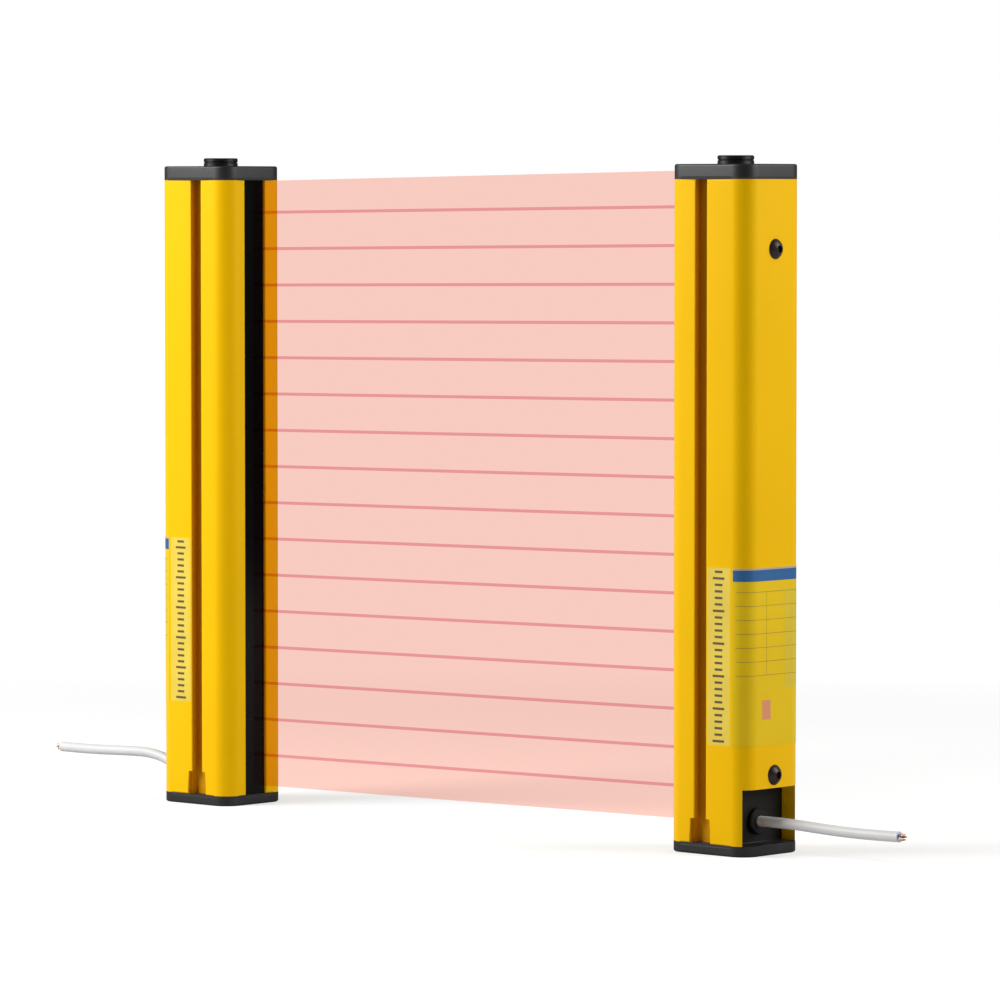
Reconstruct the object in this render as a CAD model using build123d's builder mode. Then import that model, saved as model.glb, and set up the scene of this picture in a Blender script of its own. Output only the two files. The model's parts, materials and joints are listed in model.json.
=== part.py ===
from build123d import *
import os
from math import asin, degrees, radians, tan

# Safety light curtain: an emitter post and a receiver post that face each other.
# Millimetres, +Z up. The floor is Z = 0 and the origin lies midway between the two posts.
# +X runs from the emitter to the receiver. Every piece is written in its post's own frame:
# x forward, towards the other post, y across, z up from the floor.

# The pair
post_spacing = 336.0

# Extruded housing
post_depth = 48.0
post_width = 42.0
corner_radius = 9.0
housing_length = 306.0
housing_wall = 2.0

# T-slot in each side face
slot_forward = 3.2
slot_mouth = 6.6
slot_lip = 2.0
slot_head_width = 10.4
slot_head_depth = 3.4
slot_web = 1.8
slot_entry_width = 11.6
slot_entry_height = 11.5

# Front window and the channel that holds it
window_mouth = 14.0
window_recess = 1.5
window_width = 17.6
window_thickness = 2.0
window_side_gap = 0.2
window_gasket_thickness = 1.0
window_gasket_width = 2.6
window_shoulder = 1.6
window_shoulder_mouth = 12.4
window_frame_wall = 1.6

# End caps, their seals and their screws
base_thickness = 4.0
top_cap_thickness = 6.0
seal_thickness = 1.0
cap_edge_fillet = 1.0
base_edge_chamfer = 0.6
plug_depth = 6.0
plug_side_gap = 2.8
plug_rear = -9.0
fit_gap = 0.2
cap_screw_shank = 3.3
cap_screw_length = 14.0
cap_screw_head = 7.2
cap_screw_hole = 4.4
cap_screw_drive = 2.0
screw_port_radius = 3.2
screw_port_bore = 3.4
front_port_inset_x = 6.0
front_port_inset_y = 6.0
rear_port_gap = 0.8
rear_port_inset_y = 5.0

# Pivot stud on the top cap and threaded insert in the base
stud_radius = 8.5
stud_height = 4.0
stud_stem_radius = 5.0
stud_stem_length = 5.0
stud_edge_chamfer = 0.5
thread_radius = 2.5
stud_thread_depth = 8.0
insert_radius = 4.5
insert_length = 8.0
insert_boss_wall = 2.5

# Cable recess at the foot of the rear face
recess_depth = 11.0
recess_height = 26.0
outlet_plate = 2.6
outlet_ledge = 2.4

# Cable, gland and the lead inside
cable_radius = 2.5
cable_height = 15.0
gland_body_radius = 4.5
gland_flange_radius = 6.2
gland_flange = 2.5
gland_edge_chamfer = 0.6
gland_inside = 4.0
locknut_across_flats = 12.0
locknut_thickness = 2.4
bore_gap = 0.05
core_radius = 0.55
core_circle = 1.3
core_length = 3.0
core_count = 5

# Rear screws and the bridges that they hold
rear_screw_inset = 32.0
rear_screw_head_radius = 4.75
rear_screw_head_height = 2.75
rear_screw_shank = 4.2
rear_screw_length = 12.0
rear_screw_hole = 5.4
rear_screw_socket = 3.0
rear_screw_socket_depth = 1.6
bridge_height = 7.0

# Optics: lens bar, chambers, board and one diode for each beam
beam_pitch = 18.0
optics_end_gap = 4.4
optics_side_gap = 1.4
chamber_end_wall = 3.0
lens_bar_thickness = 1.8
lens_radius = 5.0
lens_height = 1.4
carrier_depth = 9.5
chamber_front_radius = 5.2
chamber_rear_radius = 2.3
board_thickness = 1.6
board_side_gap = 2.2
diode_flange_radius = 1.9
diode_flange = 0.8
diode_radius = 1.5
diode_body = 1.2
carrier_screw_inset = 2.2
carrier_screw_shank = 2.0
carrier_screw_head_radius = 1.9
carrier_screw_head = 1.3
carrier_screw_length = 7.0

# Control board and what it carries
board_end_gap = 8.5
relay_gap = 4.4
spacer_radius = 2.5
spacer_inset = 8.0
spacer_side_inset = 3.1
link_width = 5.0
link_length = 30.0
terminal_width = 5.6
terminal_edge = 0.4
terminal_height = 10.0
lead_port_gap = 1.3
lead_bridge_gap = 0.5
lead_gland_gap = 1.1
lead_board_gap = 0.7
lead_straight = 0.5
lead_rise = 14.0
lead_second_radius = 12.0
chip_size = 9.0
chip_height = 1.4
capacitor_radius = 3.1
capacitor_height = 7.5
relay_length = 20.0
relay_width = 10.0
relay_height = 8.0

# Rating label on the rear face
label_bottom = 51.0
label_height = 82.0
label_thickness = 0.2
label_wrap = 1.6

# Worked out along the height
base_top = base_thickness
housing_bottom = base_top + seal_thickness
housing_top = housing_bottom + housing_length
top_cap_bottom = housing_top + seal_thickness
top_cap_top = top_cap_bottom + top_cap_thickness
recess_top = housing_bottom + recess_height
optics_bottom = housing_bottom + optics_end_gap
optics_top = housing_top - optics_end_gap
optics_length = optics_top - optics_bottom
housing_middle = (housing_bottom + housing_top) / 2
rear_screw_heights = [housing_bottom + rear_screw_inset, housing_top - rear_screw_inset]
control_board_bottom = rear_screw_heights[0] + bridge_height / 2 + board_end_gap
control_board_top = rear_screw_heights[1] - bridge_height / 2 - board_end_gap
control_board_length = control_board_top - control_board_bottom
spacer_heights = [control_board_bottom + terminal_height + spacer_inset, control_board_top - spacer_inset]
carrier_screw_heights = [spacer_heights[0] + spacer_inset, spacer_heights[1] - spacer_inset]
beam_span = optics_length - 2 * (chamber_front_radius + chamber_end_wall)
beam_count = int(beam_span // beam_pitch) + 1
first_beam_height = housing_middle - beam_pitch * (beam_count - 1) / 2
beam_heights = [first_beam_height + beam_pitch * i for i in range(beam_count)]

# Worked out along the depth
front_x = post_depth / 2
rear_x = -post_depth / 2
window_front_x = front_x - window_recess
window_back_x = window_front_x - window_thickness
gasket_back_x = window_back_x - window_gasket_thickness
shoulder_back_x = gasket_back_x - window_shoulder
lens_back_x = shoulder_back_x - lens_bar_thickness
carrier_back_x = lens_back_x - carrier_depth
optics_board_back_x = carrier_back_x - board_thickness
cavity_rear_x = rear_x + housing_wall
control_board_back_x = cavity_rear_x + relay_height + relay_gap
control_board_front_x = control_board_back_x + board_thickness
board_spacing = optics_board_back_x - control_board_front_x
recess_x = rear_x + recess_depth
outlet_inner_x = recess_x + outlet_plate
gland_outer_x = recess_x - gland_flange
gland_inner_x = outlet_inner_x + gland_inside
front_port_x = front_x - front_port_inset_x
rear_port_x = outlet_inner_x + rear_port_gap + screw_port_radius
plug_front = optics_board_back_x - 3 * fit_gap
lead_x = gland_inner_x + lead_gland_gap + cable_radius
lead_turn_x = optics_board_back_x - lead_board_gap - cable_radius
terminal_depth = lead_x + cable_radius + terminal_edge - control_board_front_x

# Worked out across the width
cavity_depth = post_depth - 2 * housing_wall
cavity_width = post_width - 2 * housing_wall
cavity_radius = corner_radius - housing_wall
side_y = post_width / 2
slot_floor_y = side_y - slot_lip - slot_head_depth
channel_width = window_width + 2 * window_side_gap
front_port_y = side_y - front_port_inset_y
rear_port_y = side_y - rear_port_inset_y
port_points = [
    (front_port_x, front_port_y),
    (front_port_x, -front_port_y),
    (rear_port_x, rear_port_y),
    (rear_port_x, -rear_port_y),
]
between_front_ports = 2 * (front_port_y - screw_port_radius)
between_rear_ports = 2 * (rear_port_y - screw_port_radius)
between_slots = 2 * (slot_floor_y - slot_web)
plug_width = between_rear_ports - 2 * plug_side_gap
carrier_width = between_front_ports - 2 * optics_side_gap
optics_board_width = between_slots - 2 * board_side_gap
control_board_width = between_rear_ports - 2 * board_side_gap
carrier_screw_y = carrier_width / 2 - carrier_screw_inset
spacer_side = control_board_width / 2 - spacer_side_inset
lead_side = between_rear_ports / 2 - lead_port_gap - cable_radius
bridge_width = 2 * (lead_side - cable_radius - lead_bridge_gap)

# Route of each cable in its post's frame: out of the gland, then the points where it turns.
emitter_cable_route = [
    (gland_outer_x, 0.0, cable_height),
    (-31.0, 0.0, cable_height),
    (-49.0, 0.4, 19.6),
    (-72.0, 0.2, 21.2),
    (-95.0, -0.3, 21.0),
    (-117.0, -0.2, 20.2),
]
receiver_cable_route = [
    (gland_outer_x, 0.0, cable_height),
    (-32.0, 0.0, cable_height),
    (-54.0, -0.3, 13.4),
    (-77.0, -0.2, 13.0),
    (-98.0, 0.4, 13.6),
]

emitter_post = Plane(origin=(-post_spacing / 2, 0, 0), x_dir=(1, 0, 0))
receiver_post = Plane(origin=(post_spacing / 2, 0, 0), x_dir=(-1, 0, 0))


def level(post, z):
    """Horizontal plane of a post at height z."""
    return post.offset(z)


def carried(post, plane):
    """A plane of a post's own frame in the frame of the pair."""
    return Plane(post.location * plane.location)


def upright(post, x, y, z):
    """Plane of a post that faces forward at (x, y, z): its own x runs across, its y runs up."""
    return carried(post, Plane(origin=(x, y, z), x_dir=(0, 1, 0), z_dir=(1, 0, 0)))


def backward(post, x, y, z):
    """Plane of a post that faces backward at (x, y, z)."""
    return carried(post, Plane(origin=(x, y, z), x_dir=(0, -1, 0), z_dir=(-1, 0, 0)))


def above(post, x, y, z):
    """Plane of a post that faces up at (x, y, z)."""
    return carried(post, Plane(origin=(x, y, z)))


def under(post, x, y, z):
    """Plane of a post that faces down at (x, y, z)."""
    return carried(post, Plane(origin=(x, y, z), x_dir=(1, 0, 0), z_dir=(0, 0, -1)))


def in_post(post, points):
    """Points of a post's own frame in the frame of the pair."""
    return [post.from_local_coords(Vector(*point)) for point in points]


def crown(radius, height):
    """Sphere radius of a cap of this base radius and height, and the latitude where it starts."""
    sphere_radius = (radius**2 + height**2) / (2 * height)
    return sphere_radius, degrees(asin(1 - height / sphere_radius))


def arc_radii(points):
    """Radius of each arc of a cable route: 0.45 of the shorter run over the half turn's tangent."""
    vectors = [Vector(*point) for point in points]
    radii = []
    for before, corner, after in zip(vectors, vectors[1:], vectors[2:]):
        run_in, run_out = corner - before, after - corner
        turn = run_in.get_angle(run_out)
        radii.append(0.45 * min(run_in.length, run_out.length) / tan(radians(turn / 2)))
    return radii


def make_housing(post):
    """Extruded tube with a T-slot in each side, a window channel in front and screw ports."""
    with BuildPart() as housing:
        with BuildSketch(level(post, housing_bottom)):
            RectangleRounded(post_depth, post_width, corner_radius)
            RectangleRounded(cavity_depth, cavity_width, cavity_radius, mode=Mode.SUBTRACT)
            web_depth = slot_lip + slot_head_depth + slot_web - housing_wall / 2
            web_y = side_y - housing_wall / 2 - web_depth / 2
            with Locations((slot_forward, web_y), (slot_forward, -web_y)):
                Rectangle(slot_head_width + 2 * slot_web, web_depth)
            frame_front_x = front_x - housing_wall / 2
            with Locations(((shoulder_back_x + frame_front_x) / 2, 0)):
                Rectangle(frame_front_x - shoulder_back_x, channel_width + 2 * window_frame_wall)
            with Locations(*port_points):
                Circle(screw_port_radius)
                Circle(screw_port_bore / 2, mode=Mode.SUBTRACT)
            lip_y = side_y - slot_lip / 2
            head_y = slot_floor_y + slot_head_depth / 2
            with Locations((slot_forward, lip_y), (slot_forward, -lip_y)):
                Rectangle(slot_mouth, slot_lip, mode=Mode.SUBTRACT)
            with Locations((slot_forward, head_y), (slot_forward, -head_y)):
                Rectangle(slot_head_width, slot_head_depth, mode=Mode.SUBTRACT)
            with Locations(((window_front_x + front_x) / 2, 0)):
                Rectangle(window_recess, window_mouth, mode=Mode.SUBTRACT)
            with Locations(((gasket_back_x + window_front_x) / 2, 0)):
                Rectangle(window_front_x - gasket_back_x, channel_width, mode=Mode.SUBTRACT)
            with Locations(((shoulder_back_x + gasket_back_x) / 2, 0)):
                Rectangle(window_shoulder, window_shoulder_mouth, mode=Mode.SUBTRACT)
        extrude(amount=housing_length)
        # Entry for slot nuts at the foot of each T-slot.
        with BuildSketch(level(post, housing_bottom)):
            with Locations((slot_forward, lip_y), (slot_forward, -lip_y)):
                Rectangle(slot_entry_width, slot_lip)
        extrude(amount=slot_entry_height, mode=Mode.SUBTRACT)
        # Recess for the cable: the rear wall is milled away between the side walls.
        with BuildSketch(level(post, housing_bottom)):
            with Locations(((rear_x + recess_x) / 2, 0)):
                Rectangle(recess_depth, cavity_width)
        extrude(amount=recess_height, mode=Mode.SUBTRACT)
        for height in rear_screw_heights:
            with BuildSketch(upright(post, rear_x, 0, height)):
                Circle(rear_screw_hole / 2)
            extrude(amount=housing_wall, mode=Mode.SUBTRACT)
    return housing


def make_front_window(post):
    """Dark clear strip in the front channel, from seal to seal."""
    with BuildPart() as window:
        with BuildSketch(level(post, housing_bottom)):
            with Locations(((window_back_x + window_front_x) / 2, 0)):
                Rectangle(window_thickness, window_width)
        extrude(amount=housing_length)
    return window


def make_window_gaskets(post):
    """Two soft strips behind the window's long edges."""
    with BuildPart() as gaskets:
        with BuildSketch(level(post, housing_bottom)):
            strip_y = (window_width - window_gasket_width) / 2
            strip_x = (gasket_back_x + window_back_x) / 2
            with Locations((strip_x, strip_y), (strip_x, -strip_y)):
                Rectangle(window_gasket_thickness, window_gasket_width)
        extrude(amount=housing_length)
    return gaskets


def make_top_cap(post):
    """Moulded cap with a plug that reaches into the tube and a socket for the pivot stud."""
    with BuildPart() as cap:
        with BuildSketch(level(post, top_cap_bottom)):
            RectangleRounded(post_depth, post_width, corner_radius)
        extrude(amount=top_cap_thickness)
        fillet(cap.faces().sort_by(Axis.Z)[-1].edges(), radius=cap_edge_fillet)
        with BuildSketch(level(post, top_cap_bottom)):
            with Locations(((plug_rear + plug_front) / 2, 0)):
                Rectangle(plug_front - plug_rear, plug_width)
        extrude(amount=-plug_depth)
        with BuildSketch(level(post, top_cap_top)):
            Circle(stud_stem_radius + bore_gap)
        extrude(amount=-stud_stem_length, mode=Mode.SUBTRACT)
        with Locations(*[above(post, x, y, top_cap_top) for x, y in port_points]):
            CounterSinkHole(cap_screw_hole / 2, cap_screw_head / 2 + bore_gap, depth=top_cap_thickness)
    return cap


def make_top_gasket(post):
    """Flat seal between the tube and the top cap."""
    with BuildPart() as gasket:
        with BuildSketch(level(post, housing_top)):
            RectangleRounded(post_depth, post_width, corner_radius)
            with Locations(((plug_rear + plug_front) / 2, 0)):
                Rectangle(
                    plug_front - plug_rear + 2 * fit_gap,
                    plug_width + 2 * fit_gap,
                    mode=Mode.SUBTRACT,
                )
            with Locations(*port_points):
                Circle(cap_screw_hole / 2, mode=Mode.SUBTRACT)
        extrude(amount=seal_thickness)
    return gasket


def countersunk_screws(planes):
    """One countersunk screw for each plane, its head flush with it and its shank along its -z."""
    head_height = (cap_screw_head - cap_screw_shank) / 2
    with BuildPart() as screws:
        for plane in planes:
            with BuildSketch(plane):
                Circle(cap_screw_shank / 2)
            extrude(amount=-cap_screw_length)
            with BuildSketch(plane):
                Circle(cap_screw_head / 2)
            extrude(amount=-head_height, taper=45)
            with BuildSketch(plane):
                RegularPolygon(cap_screw_drive / 2, side_count=6, major_radius=False)
            extrude(amount=-head_height, mode=Mode.SUBTRACT)
    return screws


def make_top_cap_screws(post):
    """Four countersunk screws down into the screw ports."""
    return countersunk_screws([above(post, x, y, top_cap_top) for x, y in port_points])


def make_bottom_cap_screws(post):
    """Four countersunk screws up into the screw ports."""
    return countersunk_screws([under(post, x, y, 0) for x, y in port_points])


def make_pivot_stud(post):
    """Turned stud on which a swivel bracket turns, with a thread down its middle."""
    with BuildPart() as stud:
        with BuildSketch(level(post, top_cap_top)):
            Circle(stud_radius)
        extrude(amount=stud_height)
        chamfer(stud.faces().sort_by(Axis.Z)[-1].edges(), length=stud_edge_chamfer)
        with BuildSketch(level(post, top_cap_top)):
            Circle(stud_stem_radius)
        extrude(amount=-stud_stem_length)
        with BuildSketch(level(post, top_cap_top + stud_height)):
            Circle(thread_radius)
        extrude(amount=-stud_thread_depth, mode=Mode.SUBTRACT)
    return stud


def make_bottom_cap(post):
    """Moulded base with the insert's boss and the upright plate that closes the cable recess."""
    outlet_half_width = cavity_width / 2 - fit_gap
    with BuildPart() as cap:
        with BuildSketch(level(post, 0)):
            RectangleRounded(post_depth, post_width, corner_radius)
        extrude(amount=base_thickness)
        chamfer(cap.faces().sort_by(Axis.Z)[0].edges(), length=base_edge_chamfer)
        with BuildSketch(level(post, base_top)):
            Circle(insert_radius + insert_boss_wall)
        extrude(amount=insert_length + fit_gap - base_thickness)
        # Sill that fills the seal's gap under the recess.
        with BuildSketch(level(post, base_top)):
            RectangleRounded(post_depth, post_width, corner_radius)
            with Locations(((rear_x + recess_x) / 2, 0)):
                Rectangle(recess_depth, 2 * outlet_half_width, mode=Mode.INTERSECT)
        extrude(amount=seal_thickness)
        # Plate across the recess, inside the tube.
        with BuildSketch(level(post, base_top)):
            with Locations(((recess_x + outlet_inner_x) / 2, 0)):
                Rectangle(outlet_plate, 2 * outlet_half_width)
        extrude(amount=recess_top + outlet_ledge - base_top)
        # Ledge that closes the tube above the recess.
        with BuildSketch(level(post, recess_top)):
            RectangleRounded(
                cavity_depth - 2 * fit_gap, 2 * outlet_half_width, cavity_radius - fit_gap
            )
            with Locations(((rear_x + outlet_inner_x) / 2, 0)):
                Rectangle(outlet_inner_x - rear_x, post_width, mode=Mode.INTERSECT)
        extrude(amount=outlet_ledge)
        with BuildSketch(upright(post, recess_x, 0, cable_height)):
            Circle(gland_body_radius + bore_gap)
        extrude(amount=outlet_plate, mode=Mode.SUBTRACT)
        with BuildSketch(level(post, 0)):
            Circle(insert_radius)
        extrude(amount=insert_length, mode=Mode.SUBTRACT)
        with Locations(*[under(post, x, y, 0) for x, y in port_points]):
            CounterSinkHole(cap_screw_hole / 2, cap_screw_head / 2 + bore_gap, depth=base_thickness)
    return cap


def make_bottom_gasket(post):
    """Flat seal between the base and the tube, open round the boss and the cable recess."""
    with BuildPart() as gasket:
        with BuildSketch(level(post, base_top)):
            RectangleRounded(post_depth, post_width, corner_radius)
            Circle(insert_radius + insert_boss_wall + fit_gap, mode=Mode.SUBTRACT)
            opening_front = outlet_inner_x + fit_gap
            with Locations(((rear_x + opening_front) / 2, 0)):
                Rectangle(opening_front - rear_x, cavity_width, mode=Mode.SUBTRACT)
            with Locations(*port_points):
                Circle(cap_screw_hole / 2, mode=Mode.SUBTRACT)
        extrude(amount=seal_thickness)
    return gasket


def make_base_insert(post):
    """Brass insert with the thread that a floor bracket screws into."""
    with BuildPart() as insert:
        with BuildSketch(level(post, 0)):
            Circle(insert_radius)
            Circle(thread_radius, mode=Mode.SUBTRACT)
        extrude(amount=insert_length)
    return insert


def make_cable_gland(post):
    """Low gland: flange in the recess, body through the plate, bore for the cable."""
    with BuildPart() as gland:
        with BuildSketch(upright(post, recess_x, 0, cable_height)):
            Circle(gland_flange_radius)
        extrude(amount=-gland_flange)
        outer_centre = post.from_local_coords(Vector(gland_outer_x, 0, cable_height))
        rim = gland.edges().filter_by(GeomType.CIRCLE).sort_by_distance(outer_centre)[0]
        chamfer(rim, length=gland_edge_chamfer)
        with BuildSketch(upright(post, recess_x, 0, cable_height)):
            Circle(gland_body_radius)
        extrude(amount=gland_inner_x - recess_x)
        with BuildSketch(upright(post, gland_outer_x, 0, cable_height)):
            Circle(cable_radius + bore_gap)
        extrude(amount=gland_inner_x - gland_outer_x, mode=Mode.SUBTRACT)
    return gland


def make_gland_locknut(post):
    """Thin hexagon nut that draws the gland against the plate from inside."""
    with BuildPart() as nut:
        with BuildSketch(upright(post, outlet_inner_x, 0, cable_height)):
            RegularPolygon(locknut_across_flats / 2, side_count=6, major_radius=False)
            Circle(gland_body_radius + bore_gap, mode=Mode.SUBTRACT)
        extrude(amount=locknut_thickness)
    return nut


def make_cable(post, route):
    """Cable from the gland's face to its cut end, as straight runs joined by arcs."""
    points = in_post(post, route)
    radii = arc_radii(route)
    with BuildPart() as cable:
        with BuildLine() as path:
            FilletPolyline(*points, radius=radii)
        start = Plane(origin=points[0], z_dir=points[1] - points[0])
        with BuildSketch(start):
            Circle(cable_radius)
        sweep(path=path.wires()[0])
    length = path.wires()[0].length
    print("cable arc radii", [round(radius, 1) for radius in radii], "length", round(length, 1))
    return cable


def make_cable_cores(post, route):
    """Insulated cores that stand out of the cable's cut end."""
    end, before = in_post(post, [route[-1], route[-2]])
    with BuildPart() as cores:
        with BuildSketch(Plane(origin=end, z_dir=end - before)):
            with PolarLocations(core_circle, core_count):
                Circle(core_radius)
        extrude(amount=core_length)
    return cores


def make_inner_lead(post):
    """Lead inside the post, through the gland's bore and up to the terminal block."""
    start = (gland_outer_x, 0, cable_height)
    turn = (lead_turn_x, 0, cable_height)
    rise = (lead_x, lead_side, cable_height + lead_rise)
    end = (lead_x, lead_side, control_board_bottom)
    points = in_post(post, [start, turn, rise, end])
    turn_angle = (points[1] - points[0]).get_angle(points[2] - points[1])
    first_tangent = lead_turn_x - gland_inner_x - lead_straight
    first_radius = first_tangent / tan(radians(turn_angle / 2))
    with BuildPart() as lead:
        with BuildLine() as path:
            FilletPolyline(*points, radius=[first_radius, lead_second_radius])
        with BuildSketch(upright(post, gland_outer_x, 0, cable_height)):
            Circle(cable_radius)
        sweep(path=path.wires()[0])
    return lead


def make_lead_terminal(post):
    """Block on the control board that takes the lead's cores."""
    with BuildPart() as terminal:
        with BuildSketch(level(post, control_board_bottom)):
            with Locations((control_board_front_x + terminal_depth / 2, lead_side)):
                Rectangle(terminal_depth, terminal_width)
        extrude(amount=terminal_height)
        with BuildSketch(level(post, control_board_bottom + terminal_height)):
            with Locations((control_board_front_x + terminal_depth / 2, lead_side)):
                Rectangle(terminal_depth / 3, terminal_width / 2)
        extrude(amount=-terminal_height / 3, mode=Mode.SUBTRACT)
    return terminal


def make_optics_board(post):
    """Circuit board that carries the diodes."""
    with BuildPart() as board:
        with BuildSketch(level(post, optics_bottom)):
            with Locations(((optics_board_back_x + carrier_back_x) / 2, 0)):
                Rectangle(board_thickness, optics_board_width)
        extrude(amount=optics_length)
        for height in carrier_screw_heights:
            with BuildSketch(upright(post, optics_board_back_x, 0, height)):
                with Locations((carrier_screw_y, 0), (-carrier_screw_y, 0)):
                    Circle(carrier_screw_shank / 2 + bore_gap)
            extrude(amount=board_thickness, mode=Mode.SUBTRACT)
    return board


def make_beam_diodes(post):
    """One diode on the optics board behind each lens."""
    with BuildPart() as diodes:
        for height in beam_heights:
            with BuildSketch(upright(post, carrier_back_x, 0, height)):
                Circle(diode_flange_radius)
            extrude(amount=diode_flange)
            with BuildSketch(upright(post, carrier_back_x + diode_flange, 0, height)):
                Circle(diode_radius)
            extrude(amount=diode_body)
            with Locations(above(post, carrier_back_x + diode_flange + diode_body, 0, height)):
                Sphere(diode_radius)
    return diodes


def make_optics_carrier(post):
    """Black bar with a conical chamber for each beam, between the board and the lenses."""
    with BuildPart() as carrier:
        with BuildSketch(level(post, optics_bottom)):
            with Locations(((carrier_back_x + lens_back_x) / 2, 0)):
                Rectangle(carrier_depth, carrier_width)
        extrude(amount=optics_length)
        with Locations(*[upright(post, carrier_back_x, 0, height) for height in beam_heights]):
            Cone(
                chamber_rear_radius,
                chamber_front_radius,
                carrier_depth,
                align=(Align.CENTER, Align.CENTER, Align.MIN),
                mode=Mode.SUBTRACT,
            )
        for height in carrier_screw_heights:
            with BuildSketch(upright(post, carrier_back_x, 0, height)):
                with Locations((carrier_screw_y, 0), (-carrier_screw_y, 0)):
                    Circle(carrier_screw_shank / 2 + bore_gap)
            extrude(amount=carrier_screw_length - board_thickness, mode=Mode.SUBTRACT)
    return carrier


def make_carrier_screws(post):
    """Small pan-head screws through the board into the carrier."""
    with BuildPart() as screws:
        for height in carrier_screw_heights:
            for side in (carrier_screw_y, -carrier_screw_y):
                with BuildSketch(upright(post, optics_board_back_x, side, height)):
                    Circle(carrier_screw_head_radius)
                extrude(amount=-carrier_screw_head)
                with BuildSketch(upright(post, optics_board_back_x, side, height)):
                    Circle(carrier_screw_shank / 2)
                extrude(amount=carrier_screw_length)
    return screws


def make_lens_bar(post):
    """Clear moulded bar with a domed lens for each beam."""
    dome_radius, dome_angle = crown(lens_radius, lens_height)
    with BuildPart() as bar:
        with BuildSketch(level(post, optics_bottom)):
            with Locations(((lens_back_x + shoulder_back_x) / 2, 0)):
                Rectangle(lens_bar_thickness, carrier_width)
        extrude(amount=optics_length)
        with Locations(*[upright(post, shoulder_back_x, 0, height) for height in beam_heights]):
            Sphere(dome_radius, arc_size1=dome_angle, align=(Align.CENTER, Align.CENTER, Align.MIN))
    return bar


def make_chassis_bridges(post):
    """Two blocks between the rear wall and the optics board, tapped for the rear screws."""
    with BuildPart() as bridges:
        for height in rear_screw_heights:
            with BuildSketch(upright(post, cavity_rear_x, 0, height)):
                Rectangle(bridge_width, bridge_height)
            extrude(amount=optics_board_back_x - cavity_rear_x)
            with BuildSketch(upright(post, cavity_rear_x, 0, height)):
                Circle(rear_screw_shank / 2 + bore_gap)
            extrude(amount=rear_screw_length, mode=Mode.SUBTRACT)
    return bridges


def make_rear_screws(post):
    """Two button-head socket screws in the rear face."""
    head_radius, head_angle = crown(rear_screw_head_radius, rear_screw_head_height)
    with BuildPart() as screws:
        with Locations(*[backward(post, rear_x, 0, height) for height in rear_screw_heights]):
            Sphere(head_radius, arc_size1=head_angle, align=(Align.CENTER, Align.CENTER, Align.MIN))
        with BuildSketch(upright(post, rear_x, 0, 0)):
            with Locations(*[(0, height) for height in rear_screw_heights]):
                Circle(rear_screw_shank / 2)
        extrude(amount=rear_screw_length)
        with BuildSketch(upright(post, rear_x - rear_screw_head_height, 0, 0)):
            with Locations(*[(0, height) for height in rear_screw_heights]):
                RegularPolygon(rear_screw_socket / 2, side_count=6, major_radius=False)
        extrude(amount=rear_screw_socket_depth, mode=Mode.SUBTRACT)
    return screws


def make_control_board(post):
    """Circuit board with the logic and the outputs, behind the optics board."""
    with BuildPart() as board:
        with BuildSketch(level(post, control_board_bottom)):
            with Locations(((control_board_back_x + control_board_front_x) / 2, 0)):
                Rectangle(board_thickness, control_board_width)
        extrude(amount=control_board_length)
    return board


def make_board_spacers(post):
    """Four hexagon spacers between the two boards."""
    with BuildPart() as spacers:
        with BuildSketch(upright(post, control_board_front_x, 0, 0)):
            with Locations(*[(side, z) for side in (spacer_side, -spacer_side) for z in spacer_heights]):
                RegularPolygon(spacer_radius, side_count=6)
        extrude(amount=board_spacing)
    return spacers


def make_board_link(post):
    """Plug-in header that joins the two boards at mid height."""
    with BuildPart() as link:
        with BuildSketch(upright(post, control_board_front_x, 0, housing_middle)):
            Rectangle(link_width, link_length)
        extrude(amount=board_spacing)
    return link


def make_board_parts(post):
    """Chips, capacitors and output relays on the back of the control board."""
    back = (control_board_back_x, 0)
    with BuildPart() as parts:
        with BuildSketch(upright(post, *back, housing_middle)):
            with GridLocations(0, 3 * chip_size, 1, 3):
                Rectangle(chip_size, chip_size)
        extrude(amount=-chip_height)
        with BuildSketch(upright(post, *back, control_board_bottom + 2 * relay_length)):
            with GridLocations(0, relay_length + 2 * fit_gap, 1, 2):
                Rectangle(relay_width, relay_length - 2)
        extrude(amount=-relay_height)
        with BuildSketch(upright(post, *back, control_board_top - relay_length)):
            with GridLocations(0, 3 * capacitor_radius, 1, 3):
                Circle(capacitor_radius)
        extrude(amount=-capacitor_height)
    return parts


def make_rating_label(post):
    """Thin foil across the rear face and round both rear corners."""
    wrap_x = rear_x + corner_radius - label_wrap
    with BuildPart() as label:
        with BuildSketch(level(post, label_bottom)):
            RectangleRounded(
                post_depth + 2 * label_thickness,
                post_width + 2 * label_thickness,
                corner_radius + label_thickness,
            )
            RectangleRounded(post_depth, post_width, corner_radius, mode=Mode.SUBTRACT)
            with Locations(((wrap_x + post_depth) / 2, 0)):
                Rectangle(post_depth - wrap_x, 2 * post_width, mode=Mode.SUBTRACT)
        extrude(amount=label_height)
    return label


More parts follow.
